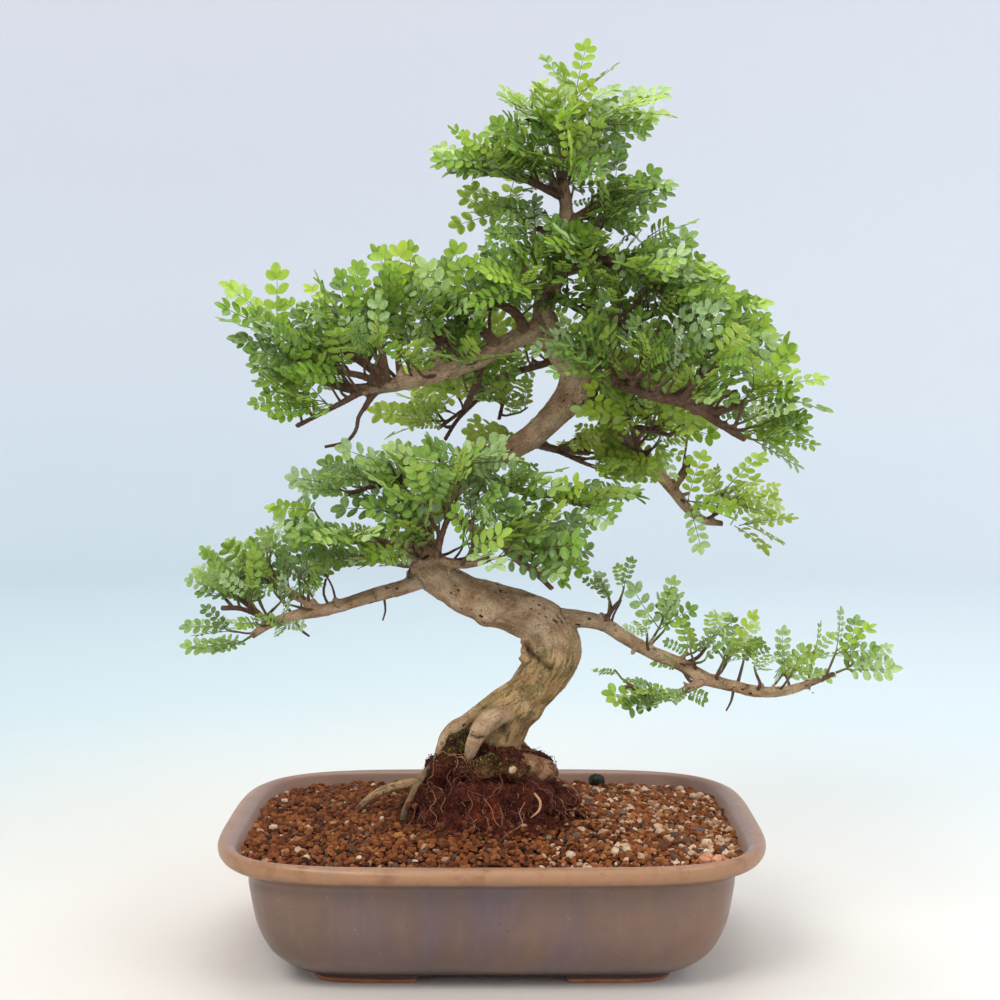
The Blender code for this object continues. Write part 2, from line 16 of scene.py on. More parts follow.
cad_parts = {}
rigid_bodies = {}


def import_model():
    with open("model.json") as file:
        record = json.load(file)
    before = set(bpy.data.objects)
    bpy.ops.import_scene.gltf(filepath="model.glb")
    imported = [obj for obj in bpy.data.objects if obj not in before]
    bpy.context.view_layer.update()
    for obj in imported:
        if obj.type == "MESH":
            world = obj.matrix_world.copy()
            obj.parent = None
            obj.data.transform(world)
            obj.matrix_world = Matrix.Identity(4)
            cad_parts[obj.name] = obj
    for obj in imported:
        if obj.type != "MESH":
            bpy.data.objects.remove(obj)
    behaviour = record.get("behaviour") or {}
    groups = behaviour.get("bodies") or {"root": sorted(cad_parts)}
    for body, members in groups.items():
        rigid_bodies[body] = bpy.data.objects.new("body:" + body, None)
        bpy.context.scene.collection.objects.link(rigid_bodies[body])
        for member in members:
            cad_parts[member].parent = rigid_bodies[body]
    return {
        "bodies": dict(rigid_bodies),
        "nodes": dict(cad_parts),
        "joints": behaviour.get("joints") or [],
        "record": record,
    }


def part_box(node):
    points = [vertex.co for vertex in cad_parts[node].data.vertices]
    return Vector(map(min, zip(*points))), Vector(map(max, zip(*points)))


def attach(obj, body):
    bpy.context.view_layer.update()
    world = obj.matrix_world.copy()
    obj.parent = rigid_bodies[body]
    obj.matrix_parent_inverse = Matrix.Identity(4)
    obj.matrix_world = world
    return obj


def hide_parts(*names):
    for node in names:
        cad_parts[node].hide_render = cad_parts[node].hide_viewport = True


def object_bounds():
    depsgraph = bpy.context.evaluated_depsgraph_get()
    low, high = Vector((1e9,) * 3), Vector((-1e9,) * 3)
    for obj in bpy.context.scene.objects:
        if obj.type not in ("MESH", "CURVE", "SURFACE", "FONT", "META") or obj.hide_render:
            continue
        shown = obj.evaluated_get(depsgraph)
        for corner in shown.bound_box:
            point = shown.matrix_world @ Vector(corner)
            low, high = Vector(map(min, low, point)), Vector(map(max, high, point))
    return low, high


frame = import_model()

cad_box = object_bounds()

MM = 0.001
UP = Vector((0, 0, 1))
GOLDEN_ANGLE = math.radians(137.5)

# The pot's middle on the table, which all places below are measured from
pot_low, pot_high = (Vector(corner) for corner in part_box("pot"))
HOME = Vector(((pot_low.x + pot_high.x) / 2, (pot_low.y + pot_high.y) / 2, pot_low.z))

# Camera: distance from the pot's middle, height and tilt, as the rim's outline in the photo gives
CAMERA_PLACE = Vector((0.0059, -1.250, 0.428))
CAMERA_TILT = 4.12
CAMERA_LENS = 60.2

# Pot
POT_WIDTH = pot_high.x - pot_low.x
POT_DEPTH = pot_high.y - pot_low.y
DEPTH_SHARE = 0.86
RIM_POWER = 3.75
FOOT_POWER = 10.0
FOOT_INSET = 0.071
ARCH_HEIGHT = 0.006
FRONT_ARCH = 0.108
SIDE_ARCH = 0.070
DRAIN_SPACING = 0.130
DRAIN_DIAMETER = 0.026
FLOOR_TOP = 0.019
FLOOR_BOTTOM = 0.009
POT_STEPS = 240

# Inset from the rim's outline and height, in millimetres: the outside, from the lip's crest down
OUTER_PROFILE = [(3, 98.5), (0, 94.5), (3, 88.5), (23, 81), (25, 70), (30, 45), (38, 28),
                 (46, 19), (57, 11), (66, 7.5), (71, 0), (88, 0), (88, 9)]
# Up the inside, from the floor's edge to the lip's crest
INNER_PROFILE = [(58, 19), (46, 30), (34, 62), (19, 90), (15, 97), (9, 100)]

# Soil and root ball
SOIL_INSET = 0.0195
SOIL_EDGE = 0.089
SOIL_CREST = 0.101
GRAIN_SPACING = 0.0043
BALL_CENTRE = Vector((-0.004, -0.002, 0))
BALL_HALF_WIDTH = 0.060
BALL_HALF_DEPTH = 0.051
BALL_FOOT = 0.096
BALL_TOP = 0.154
BALL_PROFILE = [(1.0, 96), (1.0, 103), (0.93, 113), (0.80, 124), (0.66, 136), (0.50, 146), (0.30, 153),
                (0.02, 155)]
# Humps of the root mat: middle and half-sizes in millimetres
MAT_HUMPS = [((24, -12, 141), (13, 13, 8)), ((37, -14, 136), (12, 13, 9)), ((0, -32, 142), (30, 13, 7)),
             ((-24, -24, 146), (14, 13, 14)), ((5, -18, 147), (16, 12, 8)),
             ((-10, -38, 118), (36, 17, 14)), ((24, -34, 118), (26, 18, 13)),
             ((20, 14, 132), (26, 20, 12)), ((-24, 18, 132), (20, 18, 14)),
             ((-38, -26, 136), (13, 12, 16)), ((-46, -30, 120), (15, 14, 14)),
             ((-6, -44, 108), (46, 17, 9)), ((-6, -50, 101), (48, 20, 7)), ((24, -46, 101), (30, 22, 7)),
             ((12, -58, 99), (30, 18, 6)), ((44, -22, 113), (18, 18, 12)), ((-26, -18, 162), (8, 8, 8))]
KNOB = ((34, -16, 138), (24, 24, 16))
LEDGE = ((0, -38, 143), (34, 14, 7))
RUST = ((-4, -58, 116), (17, 18, 14))
MOSS_BEDS = [((-10, -37, 153), 15, 260), ((-27, -31, 158), 12, 240), ((-33, -27, 150), 9, 110),
             ((4, -36, 150), 10, 90), ((-22, -24, 164), 8, 120)]
MAT_VOXEL = 0.0017
MAT_GRAINS = 760
FIBRES = 2000
FIBRE_STEP = 0.0023
PALE_SHARE = 0.045
RED_SHARE = 0.45
# Thin loose roots: least and greatest radius in metres, range of tones, steps and droop
FIBRE_KINDS = {"pale": ((0.00022, 0.00038), (0.55, 0.85), 15, 0.8),
               "red": ((0.00022, 0.00036), (0.25, 0.58), 9, 0.5),
               "dark": ((0.00018, 0.00030), (0.0, 0.3), 7, 0.3)}
# Thicker loose roots: points and radius in millimetres, and tone
THICK_FIBRES = [
    ([(44, -26, 135), (53, -28, 131), (60, -31, 126), (69, -34, 118), (76, -35, 111)], 0.75, 0.48),
    ([(31, -53, 128), (35, -57, 123), (34, -60, 117), (28, -61, 112)], 1.0, 0.84),
    ([(-44, -42, 128), (-41, -50, 122), (-45, -54, 117), (-40, -58, 112), (-42, -62, 107)], 0.27, 0.68),
    ([(-38, -44, 130), (-34, -52, 124), (-37, -56, 118), (-33, -60, 111), (-34, -64, 106)], 0.27, 0.64),
    ([(-18, -50, 128), (-14, -58, 121), (-17, -61, 115), (-12, -66, 109), (-14, -72, 104)], 0.28, 0.60),
    ([(-6, -54, 125), (0, -60, 118), (2, -65, 111), (8, -71, 106), (12, -79, 102)], 0.30, 0.68),
    ([(4, -54, 122), (8, -62, 114), (7, -68, 108), (12, -76, 103)], 0.27, 0.64),
    ([(24, -54, 122), (20, -60, 115), (22, -66, 109), (14, -72, 105), (8, -77, 102)], 0.30, 0.76),
    ([(-52, -30, 122), (-56, -42, 114), (-58, -52, 108), (-63, -60, 104)], 0.5, 0.4),
    ([(44, -34, 118), (52, -42, 110), (58, -52, 105)], 0.45, 0.42),
    ([(14, -38, 144), (6, -44, 140), (8, -49, 134), (4, -53, 127)], 0.27, 0.55),
    ([(-28, -36, 144), (-33, -42, 137), (-29, -48, 131), (-32, -52, 125)], 0.27, 0.55),
]

# Wood: points as x, y, z and radius in millimetres. A branch starts inside its parent.
TRUNK = [(-4, 8, 103, 25), (-6, 8, 125, 24), (-2, 6, 144, 21), (8, 3, 164, 18), (20, 0, 183, 17),
         (35, -2, 201, 18), (44, -3, 218, 20), (46, -4, 234, 19.5), (36, -5, 247, 17.5),
         (17, -6, 255, 16), (-4, -7, 263, 15.5), (-25, -8, 272, 14), (-43, -8, 284, 13),
         (-53, -6, 301, 12), (-54, -2, 319, 11.5), (-45, 3, 336, 10.5), (-28, 8, 351, 10),
         (-5, 12, 366, 9.5), (21, 15, 379, 9.2), (43, 16, 397, 10), (59, 15, 416, 11),
         (61, 13, 433, 10.5), (50, 10, 449, 9.5), (41, 8, 465, 9), (38, 7, 480, 8), (45, 8, 498, 7),
         (51, 9, 518, 6.3), (54, 9, 539, 5.6), (55, 8, 561, 5), (51, 6, 583, 4), (57, 4, 603, 3),
         (59, 2, 618, 2.2)]
KNUCKLE = [(44, 8, 462, 9), (39, 7, 476, 8.5), (37, 7, 487, 6.5)]

ROOTS = [
    [(22, -8, 184, 7), (11, -12, 179, 7.2), (4, -18, 177, 7.3), (-3, -24, 175, 7.2), (-8, -29, 171, 7),
     (-11, -32, 166, 6.2), (-14, -33.5, 160, 5.4), (-16, -33, 154, 4.6), (-17, -31, 148, 3.4)],
    [(36, -6, 208, 8), (14, -10, 194, 8), (-9, -13, 180, 6.6), (-21, -16, 172, 5.4), (-30, -18, 167, 4.8),
     (-35, -20, 163, 4.4), (-37, -22, 157, 4), (-39, -24, 151, 3.8), (-40, -26, 145, 3.6)],
    [(-36, -24, 150, 2.8), (-44, -29, 143, 2.7), (-50, -33, 137, 2.7), (-56, -36, 129, 2.8),
     (-60, -36, 120, 2.9), (-64, -33, 111, 2.9), (-66, -29, 101, 3)],
    [(12, -2, 150, 8), (20, -6, 138, 8), (32, -10, 124, 7), (40, -14, 112, 5)],
    [(6, 8, 156, 8), (22, 16, 143, 7), (34, 22, 128, 5.5), (40, 24, 114, 4)],
    [(-8, 14, 158, 8), (-22, 28, 146, 6.5), (-30, 34, 128, 5)],
    [(-36, -6, 130, 6), (-52, -6, 124, 5), (-66, -4, 122, 4), (-80, -2, 118.5, 3.6), (-92, 0, 112, 3.2),
     (-101, 2, 103, 2.8)],
]

# How old and ridged the bark of some roots is, by the root's number
ROOT_AGES = {2: 0.6, 6: 0.6, 0: 0.25}

# Folds and cracks in the bark: points, half-width and depth in millimetres. The bark is darkened along them
# as painted shade.
CREASES = [
    ([(24, -14, 232), (29, -17, 225), (35, -20, 220), (43, -22, 214)], 5.5, 3.6),
    ([(8, -16, 168), (10, -20, 160), (8, -22, 153)], 10.0, 3.4),
    ([(14, -20, 197), (18, -20, 190)], 4.0, 2.0),
    ([(22, -6, 228), (18, 2, 224)], 5.0, 3.0),
    ([(-16.8, -34.5, 168), (-14, -37.2, 167), (-11, -38.2, 166), (-8, -37.4, 165.4), (-5.4, -35, 165)],
     2.8, 2.8),
    ([(-1, -18, 272), (-4, -20, 266), (-6, -19, 260)], 2.2, 1.8),
    ([(4, -12, 190), (-8, -20, 184), (-17, -24, 174), (-22, -26, 162)], 3.2, 2.6),
    ([(28, -16, 180), (22, -18, 168), (18, -18, 158)], 2.5, 1.6),
]
# Swellings: middle, reach and rise in millimetres
BULGES = [((33, -10, 174), 14, 3.4), ((-6, -14, 249), 12, 2.6), ((-28, -18, 171), 12, 1.8),
          ((2, -28, 180), 10, 1.6), ((56, -12, 222), 22, 3.6), ((36, -18, 230), 14, 2.0),
          ((-4, -18, 254), 12, 2.4), ((-30, -16, 264), 10, 2.0), ((38, -14, 254), 14, 2.8),
          ((16, -16, 186), 16, 2.6), ((36, -16, 196), 14, 1.8), ((-22, -18, 262), 16, 2.2),
          ((20, -16, 244), 12, -1.6), ((-44, -16, 290), 14, 2.2), ((66, 10, 424), 14, 2.4),
          ((10, 8, 372), 12, 1.6), ((44, 2, 470), 12, 2.0)]
# Broken, weathered side stubs on the trunk
OLD_STUBS = [
    [(34, -4, 238, 5), (26, -12, 235, 3.4), (21, -16, 232, 2.2)],
    [(36, -6, 224, 5), (27, -14, 222, 3.6), (22, -17, 219, 2.6)],
    [(32, -8, 230, 4), (25, -15, 228, 2.6), (22, -17, 226, 1.8)],
    [(64, 6, 412, 7), (70, -1, 422, 5), (72, -4, 432, 4.2), (74, -5, 440, 3.4)],
]
# Stubs cut in the last years, pale at the end
CUT_STUBS = [
    [(96, -34, 422, 3.4), (90, -34, 428, 2.8), (86, -36, 436, 2.8)],
    [(104, -42, 423, 3), (108, -46, 436, 2.2), (112, -52, 446, 2.2)],
    [(86, -44, 470, 2.2), (100, -44, 478, 1.6), (108, -48, 488, 1.5), (113, -50, 496, 1.4)],
    [(144, -78, 408, 3.2), (160, -82, 416, 2.6), (172, -84, 420, 2.5)],
    [(158, -84, 398, 3), (168, -86, 391, 2.4), (177, -88, 386, 2.4)],
    [(155, -94, 436, 2.8), (158, -96, 439, 2.9), (160, -97, 441, 2.9)],
    [(-40, -28, 297, 3.2), (-40, -36, 305, 2.2), (-41, -38, 312, 2.2)],
    [(28, -52, 292, 2.8), (38, -53, 283, 2.2), (44, -54, 277, 2.2)],
    [(42, -54, 288, 2.2), (49, -55, 297, 1.7), (52, -56, 306, 1.7)],
    [(-66, -14, 426, 4), (-69, -18, 442, 2.8), (-66, -22, 456, 2), (-71, -22, 464, 1.8)],
    [(-79, -16, 423, 3.6), (-83, -20, 441, 2.4), (-91, -22, 455, 1.8)],
    [(-39, -8, 432, 4), (-41, -14, 449, 2.6), (-35, -16, 461, 2)],
    [(-68, -24, 352, 2.4), (-66, -30, 362, 1.7), (-64, -33, 372, 1.6)],
    [(-32, -22, 352, 2.6), (-38, -30, 364, 1.8), (-39, -34, 376, 1.6)],
]

BRANCHES = {
    "low_left": [(-43, -8, 282, 6.4), (-66, -13, 274, 5.6), (-86, -18, 269, 5.2), (-106, -22, 263, 4.9),
        (-125, -25, 258, 4.6), (-144, -28, 255, 4.2), (-163, -30, 249, 3.6), (-177, -32, 240, 2.6)],
    "low_left_up": [(-128, -24, 259, 3.8), (-143, -20, 267, 3.4), (-155, -14, 273, 3),
        (-168, -8, 279, 2.4)],
    "low_right": [(40, -6, 250, 8), (62, -10, 250, 6.5), (82, -16, 247, 5.6), (99, -22, 237, 5),
        (116, -28, 228, 4.9), (137, -34, 220, 5), (156, -40, 210, 4.8), (177, -45, 205, 4.6),
        (197, -49, 202, 4.2), (216, -52, 204, 3.6), (232, -54, 210, 2.8), (248, -56, 217, 2)],
    "low_right_under": [(158, -40, 210, 3.4), (144, -46, 204, 3), (129, -54, 200, 2.4)],
    "mid_left": [(44, 8, 471, 8), (25, 4, 462, 7.2), (4, 0, 451, 6.9), (-13, -4, 442, 6.6),
        (-33, -8, 434, 6.2), (-55, -12, 428, 5.5), (-77, -16, 423, 4.8), (-100, -20, 421, 3.8),
        (-120, -23, 425, 2.6)],
    "mid_left_curl": [(-84, -17, 422, 3.2), (-90, -19, 413, 2.4), (-95, -21, 405, 2.0)],
    "mid_left_up": [(-76, -16, 424, 4.2), (-90, -18, 437, 3.6), (-108, -20, 449, 2.8)],
    "mid_left_back": [(-16, -4, 442, 4.6), (-35, 8, 456, 3.8), (-53, 20, 465, 2.6)],
    "mid_left_front": [(4, 0, 453, 4.4), (-6, -16, 463, 3.8), (-19, -30, 470, 2.6)],
    "mid_left_hook": [(-6, -2, 444, 3.6), (-12, 4, 424, 3), (-21, 10, 406, 2.2)],
    "mid_right_low": [(65, 14, 419, 7.5), (76, 20, 409, 5.8), (90, 26, 396, 5.1), (103, 32, 382, 4.8),
        (117, 38, 367, 4.6), (130, 42, 354, 4.6), (142, 44, 340, 4.3), (152, 46, 328, 4),
        (164, 47, 319, 3.4), (180, 48, 316, 2.4)],
    "mid_right_knob": [(139, 44, 344, 3.6), (148, 40, 357, 3.4), (152, 38, 370, 2.6)],
    "mid_right_front": [(66, 12, 438, 5.8), (83, -15, 429, 4.5), (100, -40, 422, 3.8),
        (116, -58, 416, 3.6), (130, -70, 413, 3.7), (144, -78, 408, 3.5), (158, -84, 398, 3.0),
        (172, -88, 391, 2.3)],
    "mid_right_stub": [(134, -72, 412, 3.6), (144, -86, 427, 3.2), (155, -94, 436, 2.8)],
    "mid_right_side": [(150, -80, 403, 3.4), (164, -84, 408, 2.8), (175, -86, 412, 2.2)],
    "up_right": [(48, 8, 508, 5.6), (69, 4, 512, 4.6), (95, 0, 509, 4.2), (121, -4, 501, 3.4),
        (144, -8, 490, 2.4)],
    "up_front_right": [(51, 9, 520, 4.6), (70, -25, 517, 4), (92, -50, 509, 2.8)],
    "back_right": [(67, 14, 425, 5.4), (89, 46, 426, 4.6), (116, 78, 422, 3)],
    "back_left": [(54, 11, 447, 3.8), (43, 46, 441, 3.2), (12, 84, 432, 2.6), (-12, 108, 424, 2)],
    "back_low": [(27, 15, 382, 3.8), (49, 46, 374, 3.2), (77, 76, 370, 2.4)],
    "up_front": [(45, 8, 490, 4.8), (38, -26, 490, 4), (26, -54, 492, 2.8)],
    "crown_right": [(55, 9, 541, 4.6), (67, 5, 550, 3.8), (82, -2, 560, 2.6)],
    "crown_left": [(54, 8, 564, 3.8), (37, 0, 570, 3.2), (23, -8, 578, 2.4)],
    "crown_back": [(54, 8, 558, 3.6), (52, 36, 569, 3), (48, 58, 580, 2.2)],
    "crown_top_right": [(56, 4, 600, 2.9), (70, -5, 606, 2.2)],
    "crown_front": [(52, 6, 579, 3.2), (54, -24, 579, 2.4)],
    "crown_low_left": [(54, 9, 533, 4), (36, 32, 542, 3), (20, 50, 550, 2.2)],
    "low_front": [(-53, -6, 305, 5), (-40, -28, 297, 3.6), (-20, -42, 294, 3.2), (-1, -51, 299, 2.4)],
    "low_front_left": [(-38, -30, 297, 3.2), (-57, -38, 293, 2.8), (-77, -43, 296, 2.2)],
    "low_front_right": [(-45, 3, 335, 5), (-25, -18, 325, 3.8), (-3, -34, 314, 3.2), (16, -44, 303, 2.4)],
    "low_up_left": [(-52, -1, 327, 5), (-62, -14, 339, 3.8), (-68, -24, 352, 2.6)],
    "low_right_up": [(-18, 9, 357, 4.6), (4, -8, 351, 3.8), (28, -18, 344, 2.8)],
    "low_up": [(-39, 4, 342, 4.2), (-32, -22, 352, 3.2), (-22, -40, 362, 2.4)],
}

# Thin side branches inside the foliage, which the solids leave out
FINE_BRANCHES = {
    "up_right_fan": [(85, 2, 511, 3.2), (103, -25, 505, 2.6), (117, -46, 494, 2.2), (128, -62, 480, 1.6)],
    "up_right_out": [(121, -4, 498, 2.6), (138, -22, 478, 2.2), (148, -36, 464, 1.8),
        (156, -46, 450, 1.4)],
    "mid_right_cover": [(83, -15, 429, 2.8), (86, -34, 437, 2.2), (80, -52, 439, 1.8),
        (70, -62, 434, 1.4)],
    "mid_right_over": [(98, -38, 423, 2.6), (103, -54, 430, 2.1), (99, -68, 424, 1.5)],
    "mid_right_drape": [(116, -58, 416, 2.6), (118, -72, 424, 2.0), (112, -84, 420, 1.5)],
    "up_low_front": [(50, 8, 490, 3.4), (66, -20, 478, 2.8), (86, -44, 470, 2.2), (106, -60, 466, 1.6)],
    "mid_right_inner": [(70, 6, 436, 3.2), (84, -14, 452, 2.6), (104, -30, 468, 2), (124, -40, 478, 1.5)],
    "mid_right_hang": [(118, 38, 366, 2.8), (112, 20, 372, 2.2), (108, 2, 380, 1.8),
        (112, -14, 390, 1.4)],
    "crown_out_left": [(52, 8, 566, 2.6), (32, 0, 572, 2.2), (12, -6, 577, 1.8), (-8, -8, 580, 1.4)],
    "mid_right_veil": [(72, 18, 412, 2.8), (88, 28, 412, 2.2), (108, 32, 408, 1.8), (132, 30, 402, 1.4)],
    "crown_neck_right": [(54, 9, 526, 2.6), (66, -6, 533, 2), (82, -12, 540, 1.5)],
    "crown_neck_left": [(54, 9, 512, 2.6), (44, -8, 522, 2), (30, -14, 530, 1.5)],
    "back_low_hang": [(49, 46, 374, 2.4), (70, 38, 364, 1.8), (96, 34, 356, 1.4)],
    "low_front_mid": [(-40, -28, 297, 3), (-38, -44, 310, 2.6), (-33, -54, 324, 2), (-26, -58, 338, 1.6)],
    "low_front_top": [(-40, -28, 297, 3), (-52, -42, 312, 2.4), (-60, -52, 328, 1.8)],
    "low_up_reach": [(28, -18, 344, 2.8), (48, -28, 343, 2.4), (62, -34, 339, 1.8), (74, -38, 335, 1.4)],
    "low_fist": [(16, -44, 300, 3.4), (28, -52, 292, 2.8), (42, -54, 288, 2.2), (56, -50, 292, 1.6)],
    "low_right_under_tip": [(129, -54, 200, 2.2), (112, -57, 204, 1.6), (96, -60, 208, 1.2)],
    "low_fan_left": [(-60, -20, 306, 3.2), (-78, -40, 308, 2.6), (-100, -52, 312, 2.0),
        (-118, -58, 318, 1.5)],
    "up_right_rear": [(80, 2, 512, 3), (100, 30, 508, 2.4), (125, 52, 496, 1.8)],
    "mid_right_top": [(100, -40, 422, 3.4), (112, -44, 445, 2.8), (130, -50, 462, 2)],
    "mid_right_fan": [(130, -70, 413, 3.2), (146, -62, 430, 2.4), (158, -60, 438, 1.8),
        (168, -58, 442, 1.4)],
    "mid_right_under": [(90, 26, 396, 3), (112, 4, 392, 2.2), (134, -8, 386, 1.6)],
    "back_right_low": [(89, 46, 426, 3), (110, 60, 405, 2.4), (135, 66, 388, 1.8)],
    "back_left_low": [(12, 84, 432, 2.8), (-15, 92, 410, 2.2), (-45, 90, 388, 1.6)],
    "mid_left_high": [(-13, -4, 442, 4), (-28, -14, 460, 3.2), (-46, -22, 470, 2.4)],
    "mid_left_top": [(25, 4, 462, 4.5), (18, -12, 476, 3.6), (2, -24, 484, 2.4)],
    "mid_left_out": [(-77, -16, 423, 3.4), (-100, -30, 432, 2.6), (-130, -38, 434, 2),
        (-152, -40, 434, 1.5)],
    "mid_left_crest": [(-76, -16, 424, 3), (-79, -24, 444, 2.4), (-82, -28, 460, 1.8),
        (-84, -30, 469, 1.3)],
    "mid_left_droop": [(-92, -19, 421, 3), (-115, -34, 408, 2.2), (-142, -40, 394, 1.6)],
    "crown_peak_left": [(57, 4, 603, 2.4), (44, -4, 611, 2), (32, -8, 616, 1.6), (22, -10, 620, 1.3)],
    "crown_peak_right": [(57, 4, 603, 2.4), (72, -8, 610, 1.8), (86, -12, 617, 1.4)],
    "back_left_drop": [(-15, 92, 410, 2.4), (-28, 80, 396, 1.8), (-38, 70, 380, 1.3)],
    "back_left_fall": [(12, 84, 432, 2.4), (9, 70, 414, 1.8), (5, 62, 396, 1.3)],
    "low_left_tip": [(-163, -30, 249, 2.4), (-180, -24, 262, 2), (-196, -20, 270, 1.5)],
    "low_left_outer": [(-158, -30, 250, 2.4), (-170, -38, 256, 1.9), (-184, -42, 262, 1.5),
        (-198, -42, 262, 1.2)],
    "low_right_first": [(84, -17, 246, 2.2), (88, -22, 257, 1.8), (95, -27, 266, 1.4)],
    "low_up_out": [(-68, -24, 352, 2.4), (-88, -34, 350, 1.9), (-106, -40, 344, 1.5)],
}

# Thin twigs without leaves
BARE_TWIGS = [
    [(-94, -21, 407, 1.7), (-98, -23, 400, 1.6), (-99, -25, 393, 1.5), (-102, -27, 387, 1.4),
     (-108, -29, 382, 1.3), (-122, -31, 379, 1.1)],
    [(-80, -16, 265, 1.0), (-79, -20, 257, 0.8), (-81, -22, 250, 0.6)],
    [(-146, -28, 253, 1.4), (-141, -31, 245, 1.1), (-134, -33, 240, 0.8)],
    [(-118, -24, 258, 1.2), (-124, -26, 270, 1.0), (-122, -28, 282, 0.9)],
    [(-60, -12, 274, 1.1), (-62, -15, 282, 0.9), (-61, -17, 288, 0.7)],
    [(176, -45, 203, 1.2), (174, -48, 195, 0.9), (170, -50, 188, 0.6)],
    [(88, -18, 244, 1.1), (90, -21, 254, 0.9), (94, -23, 262, 0.7)],
    [(30, -50, 292, 1.2), (36, -56, 300, 1.0), (33, -58, 310, 0.9)],
]

# Leafy shoots. These branches end in a bare, pruned stub; all others end in a shoot.
BARE_ENDS = {"mid_left_curl", "mid_left_hook", "mid_right_stub", "mid_right_knob"}
# Shoots from a branch's side: branch, share of its length, and side (1 left, -1 right, 0 upwards)
SIDE_SHOOTS = [("low_left", 0.62, 0), ("low_right", 0.36, 0), ("low_right", 0.60, 0),
               ("low_right", 0.78, 1), ("mid_left", 0.62, 0), ("mid_left", 0.90, -1),
               ("mid_right_low", 0.93, 0), ("up_right", 0.55, 0), ("mid_right_front", 0.55, 0)]
SIDE_STUB = 0.007
STUB_RADIUS = 0.0017
SHOOT_LENGTH = 0.020
SHOOT_RADIUS = 0.0012
LOWEST_SLOPE = -0.3
LEAF_SINK = 0.003

# Old ridged bark ends at this height, and fades over the stretch below it
OLD_BARK_TOP = 0.262
OLD_BARK_FADE = 0.062
# Bark is young and red-brown on wood thinner than this, and on thicker wood above this height
YOUNG_RADIUS = 0.0034
YOUNG_FROM = 0.33

# How fine the pieces are
WOOD_VOXEL = 0.0016
ROUTE_STEP = 0.003


# Meshes

def make_mesh(name, points, faces, sharp_angle=None):
    mesh = bpy.data.meshes.new(name)
    mesh.from_pydata(points, [], faces)
    mesh.update()
    mesh.shade_smooth()
    if sharp_angle is not None:
        mesh.set_sharp_from_angle(angle=math.radians(sharp_angle))
    return mesh


def add_numbers(mesh, name, values):
    """One number for each vertex, which the material reads by name."""
    attribute = mesh.attributes.new(name, "FLOAT", "POINT")
    attribute.data.foreach_set("value", np.asarray(values, dtype=np.float32))


def add_vectors(mesh, name, values):
    attribute = mesh.attributes.new(name, "FLOAT_VECTOR", "POINT")
    attribute.data.foreach_set("vector", np.asarray(values, dtype=np.float32).ravel())


def add_piece(name, mesh, material, slot, *nodes):
    """Place a piece of the object and hide the solids it stands for."""
    piece = add_object(name, mesh)
    piece.location = HOME
    mesh.materials.clear()
    mesh.materials.append(material)
    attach(piece, "root")
    if nodes:
        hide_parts(*nodes)
    return piece


def add_object(name, data):
    made = bpy.data.objects.new(name, data)
    bpy.context.scene.collection.objects.link(made)
    return made


def finder_of(points):
    """A tree that finds the points nearest to a place."""
    finder = kdtree.KDTree(len(points))
    for index, point in enumerate(points):
        finder.insert(point, index)
    finder.balance()
    return finder


def points_of(mesh):
    points = np.empty(len(mesh.vertices) * 3)
    mesh.vertices.foreach_get("co", points)
    return points.reshape(-1, 3)


def set_points(mesh, points):
    mesh.vertices.foreach_set("co", np.asarray(points, dtype=np.float32).ravel())
    mesh.update()


def normals_of(mesh):
    normals = np.empty(len(mesh.vertices) * 3)
    mesh.vertices.foreach_get("normal", normals)
    return normals.reshape(-1, 3)


def smooth_route(points, step):
    """A smooth line through points of any number of columns, sampled about every step metres."""
    knots = np.array(points, dtype=float)
    padded = np.vstack([2 * knots[0] - knots[1], knots, 2 * knots[-1] - knots[-2]])
    samples = []
    for before, start, end, after in zip(padded, padded[1:], padded[2:], padded[3:]):
        count = max(1, int(round(np.linalg.norm((end - start)[:3]) / step)))
        for number in range(count):
            t = number / count
            curve = (2 * start + (end - before) * t + (2 * before - 5 * start + 4 * end - after) * t ** 2
                     + (3 * start - before - 3 * end + after) * t ** 3)
            samples.append(curve / 2)
    samples.append(knots[-1])
    return np.array(samples)


class Growth:
    """Collects many small bodies into one mesh, with numbers for the material."""

    def __init__(self, *channels):
        self.points = []
        self.faces = []
        self.count = 0
        self.numbers = {channel: [] for channel in channels}

    def add(self, points, faces, **values):
        self.faces.extend(tuple(corner + self.count for corner in face) for face in faces)
        self.points.append(points)
        self.count += len(points)
        for channel, kept in self.numbers.items():
            kept.append(np.broadcast_to(np.asarray(values[channel], dtype=float), len(points)))

    def mesh(self, name, sharp_angle=None):
        mesh = make_mesh(name, np.vstack(self.points).tolist(), self.faces, sharp_angle)
        for channel, kept in self.numbers.items():
            add_numbers(mesh, channel, np.concatenate(kept))
        return mesh


def ring_faces(sides, rings, closed=True, flip=False):
    """Faces over rings of points after point 0. Where closed, one more point ends them."""
    last = 1 + sides * rings
    faces = []
    for step in range(sides):
        after = (step + 1) % sides
        faces.append((0, 1 + after, 1 + step))
        if closed:
            faces.append((last, last - sides + step, last - sides + after))
        for low in range(1, last - sides, sides):
            high = low + sides
            faces.append((low + step, low + after, high + after, high + step))
    return [(face[0], *face[:0:-1]) for face in faces] if flip else faces


